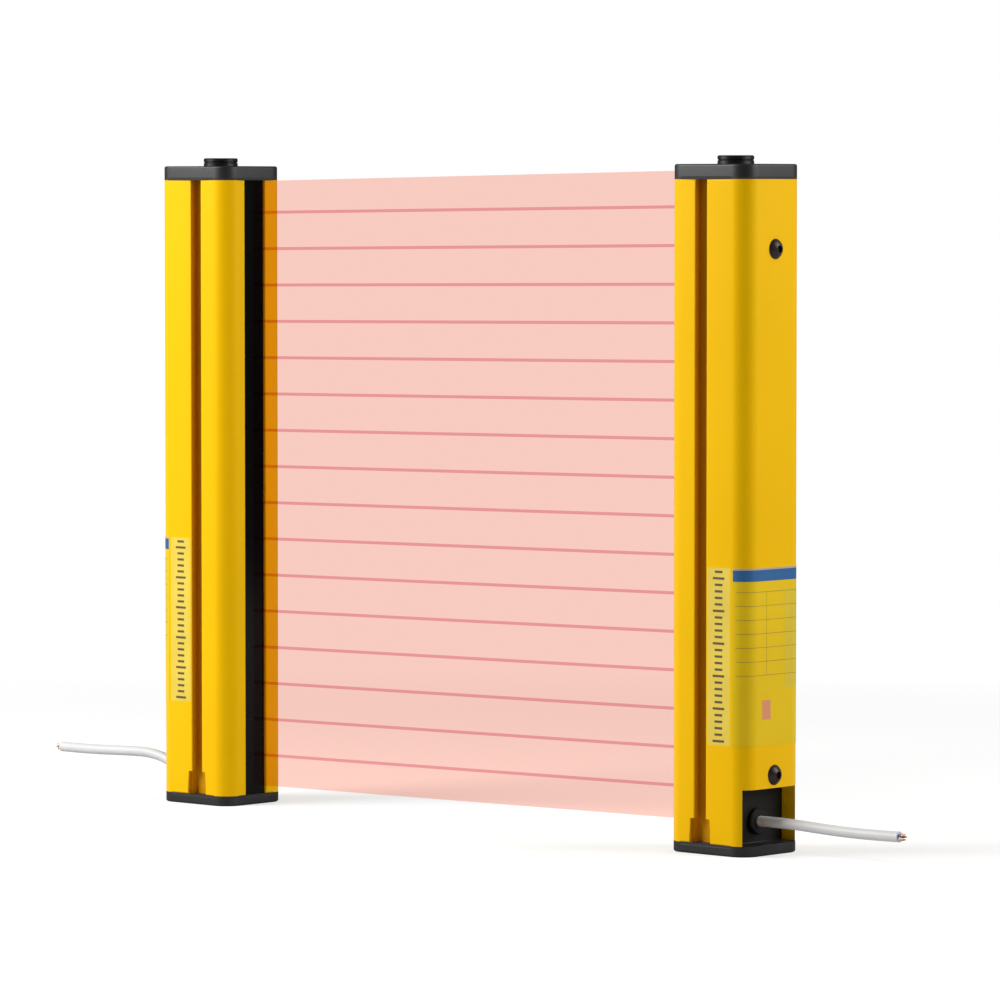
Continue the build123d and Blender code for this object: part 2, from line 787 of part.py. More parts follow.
makers = {
    "housing": make_housing,
    "front_window": make_front_window,
    "window_gaskets": make_window_gaskets,
    "top_cap": make_top_cap,
    "top_gasket": make_top_gasket,
    "top_cap_screws": make_top_cap_screws,
    "pivot_stud": make_pivot_stud,
    "bottom_cap": make_bottom_cap,
    "bottom_gasket": make_bottom_gasket,
    "bottom_cap_screws": make_bottom_cap_screws,
    "base_insert": make_base_insert,
    "cable_gland": make_cable_gland,
    "gland_locknut": make_gland_locknut,
    "inner_lead": make_inner_lead,
    "lead_terminal": make_lead_terminal,
    "control_board": make_control_board,
    "board_parts": make_board_parts,
    "board_link": make_board_link,
    "board_spacers": make_board_spacers,
    "optics_board": make_optics_board,
    "beam_diodes": make_beam_diodes,
    "optics_carrier": make_optics_carrier,
    "carrier_screws": make_carrier_screws,
    "lens_bar": make_lens_bar,
    "chassis_bridges": make_chassis_bridges,
    "rear_screws": make_rear_screws,
    "rating_label": make_rating_label,
}

posts = {
    "emitter": (emitter_post, emitter_cable_route),
    "receiver": (receiver_post, receiver_cable_route),
}

os.makedirs("parts", exist_ok=True)

for side, (post, route) in posts.items():
    for name, make in makers.items():
        piece = make(post)
        piece.part.label = f"{side}_{name}"
        export_step(piece.part, f"parts/{piece.part.label}.step")

    cable = make_cable(post, route)
    cable.part.label = f"{side}_cable"
    export_step(cable.part, f"parts/{cable.part.label}.step")

    cores = make_cable_cores(post, route)
    cores.part.label = f"{side}_cable_cores"
    export_step(cores.part, f"parts/{cores.part.label}.step")
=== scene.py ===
"""Dresses a safety light curtain: two yellow posts, black caps, dark windows, grey cables."""

import json
import logging
from collections.abc import Callable, Iterable, Sequence
from dataclasses import dataclass
from enum import Enum
from math import acos, cos, pi, radians, sin, tau

import bmesh
import bpy
from bmesh.types import BMesh, BMFace, BMVert
from bpy.types import Material, Mesh, MeshPolygon, Node, NodeSocket, Object
from mathutils import Matrix, Vector


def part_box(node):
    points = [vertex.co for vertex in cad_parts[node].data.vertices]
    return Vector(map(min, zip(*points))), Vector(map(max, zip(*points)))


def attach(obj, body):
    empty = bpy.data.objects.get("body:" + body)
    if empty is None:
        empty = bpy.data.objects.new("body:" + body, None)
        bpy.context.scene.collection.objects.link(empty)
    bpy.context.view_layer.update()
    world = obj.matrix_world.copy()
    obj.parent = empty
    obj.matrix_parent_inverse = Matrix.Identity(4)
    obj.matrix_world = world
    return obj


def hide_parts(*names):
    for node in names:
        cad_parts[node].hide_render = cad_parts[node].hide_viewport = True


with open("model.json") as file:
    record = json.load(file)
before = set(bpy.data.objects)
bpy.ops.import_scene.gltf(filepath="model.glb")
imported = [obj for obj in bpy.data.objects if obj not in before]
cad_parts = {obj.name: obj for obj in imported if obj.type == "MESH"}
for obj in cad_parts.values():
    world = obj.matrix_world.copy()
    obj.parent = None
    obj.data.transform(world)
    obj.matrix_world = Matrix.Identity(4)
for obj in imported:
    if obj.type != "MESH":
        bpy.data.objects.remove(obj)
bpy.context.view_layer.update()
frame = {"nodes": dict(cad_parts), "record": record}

MM = 0.001
TOUCH = 0.01 * MM
WELD = 0.001 * MM
BODY = "root"
log = logging.getLogger("light_curtain")

Pair = tuple[float, float]
Point = tuple[float, float, float]
Colour = tuple[float, float, float]
Inputs = dict[str | int, object]


class Side(Enum):
    """The two posts of the pair."""

    EMITTER = "emitter"
    RECEIVER = "receiver"


class Surface(Enum):
    """What a finish feels like under a fingertip."""

    PEEL = "sprayed powder that has flowed into low waves"
    GRAIN = "spark-eroded mould grain"
    POLISHED = "smooth, with faint flow lines"
    TURNED = "fine rings or lines of a cutting tool"
    WOVEN = "glass weave under solder mask"


def add_node(
    tree: bpy.types.NodeTree, kind: str, inputs: Inputs | None = None, **settings: object
) -> Node:
    """Adds a node, sets its properties and fills its inputs.

    Args:
        tree: The node tree.
        kind: The node's type.
        inputs: Name or number of an input to an output socket or a value.
        settings: Properties of the node, such as its operation.

    Returns:
        The node.
    """
    made = tree.nodes.new(kind)
    for name, value in settings.items():
        setattr(made, name, value)
    for label, source in (inputs or {}).items():
        if isinstance(source, NodeSocket):
            tree.links.new(source, made.inputs[label])
        else:
            made.inputs[label].default_value = source
    return made


@dataclass(frozen=True)
class Finish:
    """One paint, plastic, rubber or metal.

    Args:
        slot: The record's material slot.
        colour: Linear base colour.
        surface: Which relief the surface carries.
        roughness: Middle of the roughness range.
        roughness_spread: How far the roughness wanders.
        metallic: 1 for bare metal.
        relief_scale: Bumps for each metre.
        relief_height: Height of the bumps in metres.
        tone_spread: How far the colour wanders, as a share.
        tone_scale: Colour patches for each metre.
        specular: Specular level.
        sheen_tint: Colour of the specular reflection.
        transmission: Share of light that passes through.
    """

    slot: str
    colour: Colour
    surface: Surface
    roughness: float
    roughness_spread: float = 0.05
    metallic: float = 0.0
    relief_scale: float = 900.0
    relief_height: float = 0.02 * MM
    tone_spread: float = 0.04
    tone_scale: float = 30.0
    specular: float = 0.5
    sheen_tint: Colour = (1.0, 1.0, 1.0)
    transmission: float = 0.0

    def material(self) -> Material:
        """The finish as a node material, built on the first call.

        Returns:
            The material, shared by every piece with this finish.
        """
        name = f"finish_{self.slot}"
        known = bpy.data.materials.get(name)
        if known is not None:
            return known
        made = bpy.data.materials.new(name)
        made.use_nodes = True
        made.diffuse_color = (*self.colour, 1.0)
        shader = made.node_tree.nodes["Principled BSDF"]
        for label, value in {
            "Metallic": self.metallic,
            "Specular IOR Level": self.specular,
            "Specular Tint": (*self.sheen_tint, 1.0),
            "Transmission Weight": self.transmission,
        }.items():
            shader.inputs[label].default_value = value
        place = made.node_tree.nodes.new("ShaderNodeTexCoord")
        self._dress_tone(made.node_tree, place, shader)
        self._dress_relief(made.node_tree, place, shader)
        return made

    def _dress_tone(self, tree: bpy.types.NodeTree, place: Node, shader: Node) -> None:
        """Lets the base colour and the roughness wander a little over the piece.

        Args:
            tree: The material's node tree.
            place: The coordinates.
            shader: The shader that takes the colour.
        """
        patches = add_node(tree, "ShaderNodeTexNoise", {
            "Scale": self.tone_scale, "Detail": 3.0, "Vector": place.outputs["Object"],
        })
        ramp = add_node(tree, "ShaderNodeValToRGB", {"Fac": patches.outputs["Fac"]})
        low, high = ramp.color_ramp.elements
        low.position, high.position = 0.3, 0.7
        low.color = (*(c * (1.0 - self.tone_spread) for c in self.colour), 1.0)
        high.color = (*(min(1.0, c * (1.0 + self.tone_spread)) for c in self.colour), 1.0)
        tree.links.new(ramp.outputs["Color"], shader.inputs["Base Color"])
        span = add_node(tree, "ShaderNodeMapRange", {
            "Value": patches.outputs["Fac"],
            "To Min": max(0.02, self.roughness - self.roughness_spread),
            "To Max": min(1.0, self.roughness + self.roughness_spread),
        })
        tree.links.new(span.outputs["Result"], shader.inputs["Roughness"])

    def _dress_relief(self, tree: bpy.types.NodeTree, place: Node, shader: Node) -> None:
        """Gives the surface its own fine relief.

        Args:
            tree: The material's node tree.
            place: The coordinates.
            shader: The shader that takes the bumps.
        """
        along = 12.0 if self.surface is Surface.TURNED else 1.0
        stretch = add_node(tree, "ShaderNodeMapping", {
            "Scale": (1.0, 1.0, along), "Vector": place.outputs["Object"],
        })
        kind, output = {
            Surface.GRAIN: ("ShaderNodeTexVoronoi", "Distance"),
            Surface.WOVEN: ("ShaderNodeTexWave", "Fac"),
        }.get(self.surface, ("ShaderNodeTexNoise", "Fac"))
        relief = add_node(tree, kind, {
            "Scale": self.relief_scale, "Vector": stretch.outputs["Vector"],
        })
        if kind == "ShaderNodeTexNoise":
            relief.inputs["Detail"].default_value = 1.0 if self.surface is Surface.PEEL else 2.0
        bump = add_node(tree, "ShaderNodeBump", {
            "Strength": 1.0, "Distance": self.relief_height, "Height": relief.outputs[output],
        })
        tree.links.new(bump.outputs["Normal"], shader.inputs["Normal"])


def ink(slot: str, colour: Colour, roughness: float = 0.35, tone_spread: float = 0.04) -> Finish:
    """A printing ink on foil.

    Args:
        slot: Name of the ink.
        colour: Linear base colour.
        roughness: Middle of the roughness range.
        tone_spread: How far the colour wanders.

    Returns:
        The ink as a finish.
    """
    return Finish(slot, colour, Surface.POLISHED, roughness, relief_scale=400.0,
                  relief_height=0.005 * MM, tone_spread=tone_spread)


FINISHES = {
    finish.slot: finish
    for finish in (
        Finish("housing_yellow", (0.96, 0.54, 0.002), Surface.PEEL, 0.36, 0.04, relief_scale=700.0,
               relief_height=0.03 * MM, tone_spread=0.02, tone_scale=14.0, specular=0.25,
               sheen_tint=(1.0, 0.8, 0.1)),
        # Painted shade: a darker yellow for the faces inside the side slots
        Finish("housing_slot", (0.7, 0.34, 0.004), Surface.PEEL, 0.6, 0.04, relief_scale=700.0,
               relief_height=0.03 * MM, tone_spread=0.03, tone_scale=14.0, specular=0.1),
        Finish("window_dark", (0.002, 0.002, 0.002), Surface.POLISHED, 0.1, 0.02, relief_scale=60.0,
               relief_height=0.01 * MM, specular=0.15),
        Finish("seal_rubber", (0.02, 0.02, 0.02), Surface.GRAIN, 0.75, relief_scale=2500.0),
        Finish("cap_black", (0.004, 0.004, 0.005), Surface.GRAIN, 0.47, 0.05, relief_scale=2200.0,
               relief_height=0.03 * MM, tone_spread=0.1, specular=0.6),
        Finish("screw_black", (0.045, 0.036, 0.033), Surface.TURNED, 0.36, metallic=0.75,
               relief_scale=2400.0, relief_height=0.01 * MM),
        Finish("screw_zinc", (0.6, 0.6, 0.62), Surface.TURNED, 0.3, metallic=1.0,
               relief_scale=2400.0, relief_height=0.005 * MM),
        Finish("stud_black", (0.006, 0.006, 0.008), Surface.TURNED, 0.34, metallic=0.2,
               relief_scale=1600.0, relief_height=0.012 * MM),
        Finish("insert_brass", (0.72, 0.5, 0.2), Surface.TURNED, 0.28, metallic=1.0,
               relief_scale=2000.0, relief_height=0.008 * MM),
        Finish("gland_black", (0.004, 0.004, 0.004), Surface.GRAIN, 0.5, relief_scale=2600.0,
               specular=0.3),
        Finish("cable_grey", (0.72, 0.72, 0.73), Surface.PEEL, 0.45, 0.06, relief_scale=500.0,
               relief_height=0.04 * MM, tone_spread=0.03),
        Finish("core_insulation", (0.42, 0.36, 0.32), Surface.POLISHED, 0.35, relief_scale=900.0,
               relief_height=0.005 * MM),
        Finish("connector_green", (0.05, 0.28, 0.08), Surface.GRAIN, 0.4, relief_scale=2600.0,
               relief_height=0.01 * MM),
        Finish("board_green", (0.012, 0.16, 0.05), Surface.WOVEN, 0.3, relief_scale=500.0,
               relief_height=0.01 * MM),
        Finish("chip_black", (0.02, 0.02, 0.022), Surface.GRAIN, 0.55, relief_scale=3000.0,
               relief_height=0.01 * MM),
        Finish("diode_clear", (0.5, 0.55, 0.7), Surface.POLISHED, 0.1, specular=0.6,
               transmission=0.7),
        Finish("carrier_black", (0.012, 0.012, 0.012), Surface.GRAIN, 0.8, relief_scale=2000.0,
               relief_height=0.04 * MM),
        Finish("lens_clear", (0.9, 0.92, 0.95), Surface.POLISHED, 0.05, 0.02, transmission=0.95),
        Finish("bridge_aluminium", (0.75, 0.76, 0.78), Surface.TURNED, 0.32, metallic=1.0,
               relief_scale=1500.0, relief_height=0.008 * MM),
        Finish("label_foil", (0.84, 0.56, 0.008), Surface.POLISHED, 0.34, 0.04, relief_scale=180.0,
               relief_height=0.02 * MM, tone_spread=0.03, specular=0.3, sheen_tint=(1.0, 0.9, 0.5)),
        Finish("print_strip", (0.84, 0.62, 0.06), Surface.POLISHED, 0.35, relief_scale=180.0,
               relief_height=0.01 * MM, tone_spread=0.05, tone_scale=60.0),
        ink("print_blue", (0.02, 0.12, 0.32), tone_spread=0.08),
        ink("print_dark", (0.1, 0.07, 0.03), 0.45),
        ink("print_line", (0.42, 0.27, 0.02), 0.45),
        ink("print_grey", (0.5, 0.4, 0.34), 0.4),
        ink("print_pale", (0.74, 0.55, 0.02)),
        ink("print_red", (0.75, 0.3, 0.14)),
        Finish("core_copper", (0.75, 0.33, 0.16), Surface.TURNED, 0.3, metallic=1.0,
               relief_scale=3000.0, relief_height=0.005 * MM),
        Finish("core_brown", (0.12, 0.05, 0.025), Surface.POLISHED, 0.35),
        Finish("core_blue", (0.04, 0.12, 0.4), Surface.POLISHED, 0.35),
        Finish("core_white", (0.8, 0.8, 0.78), Surface.POLISHED, 0.35),
    )
}


def finish_of(slot: str) -> Material:
    """The material of a finish, by its slot's name."""
    return FINISHES[slot].material()


@dataclass(frozen=True)
class Post:
    """Where one post stands and which way it faces.

    Args:
        side: Emitter or receiver.
    """

    side: Side

    @property
    def prefix(self) -> str:
        """First word of this post's node names."""
        return self.side.value

    @property
    def facing(self) -> int:
        """1 where the window faces +X, -1 where it faces -X."""
        return 1 if self.side is Side.EMITTER else -1

    @property
    def centre_x(self) -> float:
        """X of the post's centre line, from its stud."""
        low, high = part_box(f"{self.prefix}_pivot_stud")
        return (low[0] + high[0]) / 2

    def box(self, node: str) -> tuple[Vector, Vector]:
        """The box round one of the post's nodes, in the post's own frame.

        Args:
            node: The node's name without the post's prefix.

        Returns:
            Its lowest and its highest corner.
        """
        low, high = (Vector(corner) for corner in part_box(f"{self.prefix}_{node}"))
        middle = Vector((self.centre_x, 0.0, 0.0))
        turned = [self.turn() @ (corner - middle) for corner in (low, high)]
        pairs = list(zip(*turned))
        return Vector([min(pair) for pair in pairs]), Vector([max(pair) for pair in pairs])

    def turn(self) -> Matrix:
        """Half turn about the upright for the receiver, none for the emitter."""
        return Matrix.Rotation(0.0 if self.facing > 0 else pi, 4, "Z")

    def place(self) -> Matrix:
        """Takes the post's own frame (x forward, y across, z up) to the frame of the pair."""
        return Matrix.Translation((self.centre_x, 0.0, 0.0)) @ self.turn()


@dataclass(frozen=True)
class Section:
    """Outline of a post, read from its nodes.

    Args:
        half_depth: From the centre line to the front or rear face.
        half_width: From the centre line to a side face.
        corner: Corner radius.
    """

    half_depth: float
    half_width: float
    corner: float = 9.0 * MM

    @classmethod
    def of(cls, post: Post) -> "Section":
        """The section of this post's housing."""
        low, high = post.box("housing")
        return cls((high.x - low.x) / 2, (high.y - low.y) / 2)

    def rear_point(self, along: float, proud: float) -> Pair:
        """A point on the rear face or round its corners.

        Args:
            along: Distance along the surface from the middle of the rear face, towards +y.
            proud: How far the point stands off the surface.

        Returns:
            x and y in the post's own frame.
        """
        flat = self.half_width - self.corner
        sign = 1.0 if along >= 0 else -1.0
        beyond = abs(along) - flat
        if beyond <= 0:
            return -self.half_depth - proud, along
        angle = beyond / self.corner
        reach = self.corner + proud
        x = self.corner - self.half_depth - reach * cos(angle)
        return x, sign * (flat + reach * sin(angle))


def tidy_normals(mesh: BMesh) -> None:
    """Merges doubles and turns every face outwards."""
    bmesh.ops.remove_doubles(mesh, verts=mesh.verts, dist=WELD)
    bmesh.ops.recalc_face_normals(mesh, faces=mesh.faces)


def move(shape: BMesh, matrix: Matrix) -> None:
    """Moves a whole shape."""
    bmesh.ops.transform(shape, matrix=matrix, verts=shape.verts)


def band(shape: BMesh, lower: Sequence[BMVert], upper: Sequence[BMVert]) -> list[BMFace]:
    """Joins two rings of points by a band of faces.

    Args:
        shape: The shape.
        lower: Points of the first ring, or a single one.
        upper: As many points of the second, or a single one.

    Returns:
        The faces.
    """
    steps = max(len(lower), len(upper))
    made = []
    for k in range(steps):
        following = (k + 1) % steps
        if len(lower) == 1:
            corners = (lower[0], upper[following], upper[k])
        elif len(upper) == 1:
            corners = (lower[k], lower[following], upper[0])
        else:
            corners = (lower[k], lower[following], upper[following], upper[k])
        made.append(shape.faces.new(corners))
    return made


def to_mesh(shape: BMesh, name: str, smooth_angle: float = 35.0) -> Mesh:
    """Turns an edited shape into a mesh, smooth across edges under an angle.

    Args:
        shape: The shape, which is freed.
        name: Name of the mesh.
        smooth_angle: Edges that turn by more degrees than this stay sharp.

    Returns:
        The mesh.
    """
    mesh = bpy.data.meshes.new(name)
    shape.to_mesh(mesh)
    shape.free()
    mesh.polygons.foreach_set("use_smooth", [True] * len(mesh.polygons))
    mesh.set_sharp_from_angle(angle=radians(smooth_angle))
    return mesh


def linked(name: str, data: bpy.types.ID) -> Object:
    """Links a mesh, a curve, a lamp or the camera into the scene as an object.

    Args:
        name: The object's name.
        data: What it shows.

    Returns:
        The object, at the origin.
    """
    made = bpy.data.objects.new(name, data)
    bpy.context.scene.collection.objects.link(made)
    return made


def shown(name: str, mesh: Mesh, *materials: Material) -> Object:
    """Links a mesh into the scene as an object with these materials.

    Args:
        name: The object's name.
        mesh: Its mesh, already in the frame of the pair.
        materials: Materials in slot order.

    Returns:
        The object, at the origin.
    """
    for material in materials:
        mesh.materials.append(material)
    return linked(name, mesh)


def register(piece: Object, slot: str, *nodes: str) -> Object:
    """Says what a piece rides on, which finish it has and which nodes it stands for.

    Args:
        piece: The piece.
        slot: Its material slot in the record.
        nodes: Full names of the nodes that it replaces.

    Returns:
        The same piece.
    """
    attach(piece, BODY)
    if nodes:
        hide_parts(*nodes)
    log.info("%s made, %s", piece.name, slot)
    return piece


def stand_in(node: str, mesh: Mesh, *slots: str) -> Object:
    """Shows a mesh in place of a node.

    Args:
        node: Full name of the node.
        mesh: The mesh, in the frame of the pair.
        slots: Its finishes in material order, the record's first.

    Returns:
        The piece.
    """
    piece = shown(f"{node}_dressed", mesh, *(finish_of(slot) for slot in slots))
    return register(piece, slots[0], node)


def second_finish(piece: Object, slot: str, chosen: Callable[[MeshPolygon], bool]) -> None:
    """Gives some of a piece's faces a second finish.

    Args:
        piece: The piece.
        slot: The finish.
        chosen: Says which faces take it.
    """
    piece.data.materials.append(finish_of(slot))
    for face in piece.data.polygons:
        if chosen(face):
            face.material_index = 1


def settle(piece: Object) -> None:
    """Replaces an object's mesh with what its modifiers make of it, and removes them.

    Args:
        piece: The object.
    """
    graph = bpy.context.evaluated_depsgraph_get()
    settled = bpy.data.meshes.new_from_object(piece.evaluated_get(graph), depsgraph=graph)
    settled.name = piece.name
    piece.modifiers.clear()
    piece.data = settled


@dataclass(frozen=True)
class SoftenedEdges:
    """Takes a node's own shape and rounds its long sharp edges, as paint, moulds and tumbling do.

    Args:
        width: Width of the rounded edge.
        shortest: Edges shorter than this stay as they are.
        segments: Steps across a rounded edge.
        limit: Edges that turn by fewer degrees are left alone.
        flat: Faces that turn by fewer degrees are merged first.
    """

    width: float
    shortest: float = 3.0 * MM
    segments: int = 3
    limit: float = 40.0
    flat: float = 0.2

    def copy_of(self, node: str, outside: Callable[[Vector], bool]) -> BMesh:
        """A copy of a node's mesh with its edges rounded.

        Args:
            node: Full name of the node.
            outside: Says whether a point, in the frame of the pair, lies where edges are rounded.

        Returns:
            The shape.
        """
        shape = bmesh.new()
        shape.from_mesh(frame["nodes"][node].data)
        bmesh.ops.remove_doubles(shape, verts=shape.verts, dist=2 * WELD)
        bmesh.ops.dissolve_limit(shape, angle_limit=radians(self.flat), verts=shape.verts,
                                 edges=shape.edges, delimit={"NORMAL"})
        chosen = [
            edge
            for edge in shape.edges
            if len(edge.link_faces) == 2
            and edge.calc_length() >= self.shortest
            and edge.calc_face_angle() >= radians(self.limit)
            and all(outside(vertex.co) for vertex in edge.verts)
        ]
        rounded = bmesh.ops.bevel(shape, geom=chosen, offset=self.width, segments=self.segments,
                                  profile=0.5, affect="EDGES")
        strips = set(rounded["faces"])
        for face in shape.faces:
            face.smooth = True
        for edge in shape.edges:
            inside = sum(face in strips for face in edge.link_faces)
            edge.smooth = inside != 1 and edge.calc_face_angle(0.0) < radians(self.limit)
        return shape


def everywhere(point: Vector) -> bool:
    """Says yes for any point, where all of a node's edges are rounded."""
    return True


def softened(
    post: Post, node: str, slot: str, width: float, outside: Callable[[Vector], bool] = everywhere
) -> Object:
    """Replaces one of a post's nodes by its own shape with rounded edges.

    Args:
        post: The post.
        node: The node's name without the post's prefix.
        slot: The finish.
        width: Width of the rounded edges.
        outside: Says where edges are rounded.

    Returns:
        The piece.
    """
    full = f"{post.prefix}_{node}"
    mesh = bpy.data.meshes.new(full)
    shape = SoftenedEdges(width).copy_of(full, outside)
    shape.to_mesh(mesh)
    shape.free()
    return stand_in(full, mesh, slot)


class NodeTree:
    """A Geometry Nodes tree with named inputs, ending in realised instances and a material."""

    def __init__(self, name: str, inputs: Sequence[tuple[str, str]]) -> None:
        """Starts a tree.

        Args:
            name: Name of the tree.
            inputs: Name and socket type of each input after the geometry.
        """
        self.tree = bpy.data.node_groups.new(name, "GeometryNodeTree")
        face = self.tree.interface
        face.new_socket("Geometry", in_out="INPUT", socket_type="NodeSocketGeometry")
        for label, kind in inputs:
            face.new_socket(label, in_out="INPUT", socket_type=kind)
        face.new_socket("Material", in_out="INPUT", socket_type="NodeSocketMaterial")
        face.new_socket("Geometry", in_out="OUTPUT", socket_type="NodeSocketGeometry")
        self.start = self.tree.nodes.new("NodeGroupInput")

    def node(self, kind: str, inputs: Inputs | None = None, **settings: object) -> Node:
        """Adds a node to this tree, as add_node does."""
        return add_node(self.tree, kind, inputs, **settings)

    def close(self, geometry: NodeSocket) -> None:
        """Ends the tree in Realize Instances and Set Material.

        Args:
            geometry: What the tree has made.
        """
        real = self.node("GeometryNodeRealizeInstances", {"Geometry": geometry})
        dressed = self.node("GeometryNodeSetMaterial", {
            "Geometry": real.outputs["Geometry"], "Material": self.start.outputs["Material"],
        })
        self.node("NodeGroupOutput", {"Geometry": dressed.outputs["Geometry"]})

    def run(self, host: Object, values: dict[str, object]) -> None:
        """Runs the tree on an object and keeps the result as its plain mesh.

        Args:
            host: The object whose mesh is the tree's geometry.
            values: A value for each named input.
        """
        modifier = host.modifiers.new(self.tree.name, "NODES")
        modifier.node_group = self.tree
        for item in self.tree.interface.items_tree:
            if item.in_out == "INPUT" and item.name in values:
                modifier[item.identifier] = values[item.name]
        settle(host)


def seats_tree() -> NodeTree:
    """Builds the tree that sets one piece on each point of a mesh.

    Returns:
        The tree, with the input Piece.
    """
    tree = NodeTree("pieces_on_seats", [("Piece", "NodeSocketObject")])
    piece = tree.node("GeometryNodeObjectInfo", {"Object": tree.start.outputs["Piece"]})
    seated = tree.node("GeometryNodeInstanceOnPoints", {
        "Points": tree.start.outputs["Geometry"], "Instance": piece.outputs["Geometry"],
    })
    tree.close(seated.outputs["Instances"])
    return tree


def row_tree() -> NodeTree:
    """Builds the tree that stacks bars up a line, with a longer one after a given count.

    Returns:
        The tree, with the inputs Count, Pitch, Bar, Long Every and Long Share.
    """
    tree = NodeTree("bars_in_a_row", [
        ("Count", "NodeSocketInt"), ("Pitch", "NodeSocketFloat"), ("Bar", "NodeSocketVector"),
        ("Long Every", "NodeSocketInt"), ("Long Share", "NodeSocketFloat"),
    ])
    given = tree.start.outputs
    step = tree.node("ShaderNodeCombineXYZ", {"Z": given["Pitch"]})
    line = tree.node("GeometryNodeMeshLine", {
        "Count": given["Count"], "Offset": step.outputs["Vector"],
    })
    bar = tree.node("GeometryNodeMeshCube", {"Size": given["Bar"]})
    index = tree.node("GeometryNodeInputIndex")
    turn = tree.node("ShaderNodeMath", {0: index.outputs["Index"], 1: given["Long Every"]},
                     operation="FLOORED_MODULO")
    first = tree.node("ShaderNodeMath", {0: turn.outputs["Value"], 1: 0.5},
                      operation="LESS_THAN")
    stretch = tree.node("ShaderNodeMapRange", {
        "Value": first.outputs["Value"], "To Min": 1.0, "To Max": given["Long Share"],
    })
    scale = tree.node("ShaderNodeCombineXYZ", {"X": stretch.outputs["Result"], "Y": 1.0, "Z": 1.0})
    stacked = tree.node("GeometryNodeInstanceOnPoints", {
        "Points": line.outputs["Mesh"], "Instance": bar.outputs["Mesh"],
        "Scale": scale.outputs["Vector"],
    })
    tree.close(stacked.outputs["Instances"])
    return tree


def turned_shape(
    profile: Iterable[Pair],
    steps: int = 48,
    hexagon: Callable[[int], bool] | None = None,
) -> BMesh:
    """Turns a profile about the z axis and closes it at both ends.

    Args:
        profile: Radius and height of each ring, from one end to the other.
        steps: Points round a ring, a multiple of 6.
        hexagon: Says which rings, by number, are hexagons; their radius is across the flats.

    Returns:
        The closed shape.
    """
    shape = bmesh.new()
    rings = []
    for number, (radius, height) in enumerate(profile):
        if radius <= 0.0:
            rings.append([shape.verts.new((0.0, 0.0, height))])
            continue
        ring = []
        for k in range(steps):
            angle = tau * k / steps
            reach = radius
            if hexagon is not None and hexagon(number):
                off_flat = (angle + pi / 6) % (pi / 3) - pi / 6
                reach = radius / cos(off_flat)
            ring.append(shape.verts.new((reach * cos(angle), reach * sin(angle), height)))
        rings.append(ring)
    for lower, upper in zip(rings, rings[1:]):
        band(shape, lower, upper)
    for ring in (rings[0], rings[-1]):
        if len(ring) > 1:
            shape.faces.new(ring)
    tidy_normals(shape)
    return shape


def seat_screws(
    node: str, post: Post, tree: NodeTree, screw: Mesh, places: Sequence[Point]
) -> None:
    """Sets one screw on each place, as the piece that stands for a node of screws.

    Args:
        node: Name of the node.
        post: The post.
        tree: The tree that sets pieces on points.
        screw: The screw's mesh.
        places: Where the screws go, in the post's own frame.
    """
    pattern = shown("screw_pattern", screw)
    seats = bmesh.new()
    for place in places:
        seats.verts.new(place)
    host = shown(f"{node}_dressed", to_mesh(seats, node))
    tree.run(host, {"Piece": pattern, "Material": finish_of("screw_black")})
    host.data.transform(post.place())
    bpy.data.objects.remove(pattern)
    register(host, "screw_black", node)


@dataclass
class Housing:
    """The painted extrusion and its window."""

    post: Post
    paint_edge: float = 0.7 * MM
    window_edge: float = 0.25 * MM

    slot_x: float = 3.2 * MM
    slot_reach: float = 6.2 * MM
    slot_bottom: float = 14.5 * MM

    def local(self, point: Vector) -> Vector:
        """A point of the pair's frame in the post's own frame."""
        return self.post.turn() @ (point - Vector((self.post.centre_x, 0.0, 0.0)))

    def on_skin(self, point: Vector) -> bool:
        """Whether a point lies on the front or side faces, where paint rounds over the edges.

        Args:
            point: A point of the pair's frame.

        Returns:
            True on those faces.
        """
        section = Section.of(self.post)
        local = self.local(point)
        at_side = abs(local.y) > section.half_width - TOUCH
        return at_side or local.x > section.half_depth - TOUCH

    def in_slot(self, point: Vector) -> bool:
        """Whether a point lies inside a side slot, whose faces take a darker paint as painted
        shade.

        Args:
            point: A point of the pair's frame.

        Returns:
            True inside either slot.
        """
        local = self.local(point)
        skin = Section.of(self.post).half_width - self.paint_edge / 2
        deep = self.slot_bottom < abs(local.y) < skin
        return deep and abs(local.x - self.slot_x) < self.slot_reach

    def build(self) -> None:
        """Makes the housing and the window with their edges rounded."""
        painted = softened(self.post, "housing", "housing_yellow", self.paint_edge, self.on_skin)
        # Painted shade: the faces inside the side slots take a darker yellow for the slots' shade
        second_finish(painted, "housing_slot",
                      lambda face: abs(face.normal.z) < 0.5 and self.in_slot(face.center))
        softened(self.post, "front_window", "window_dark", self.window_edge)


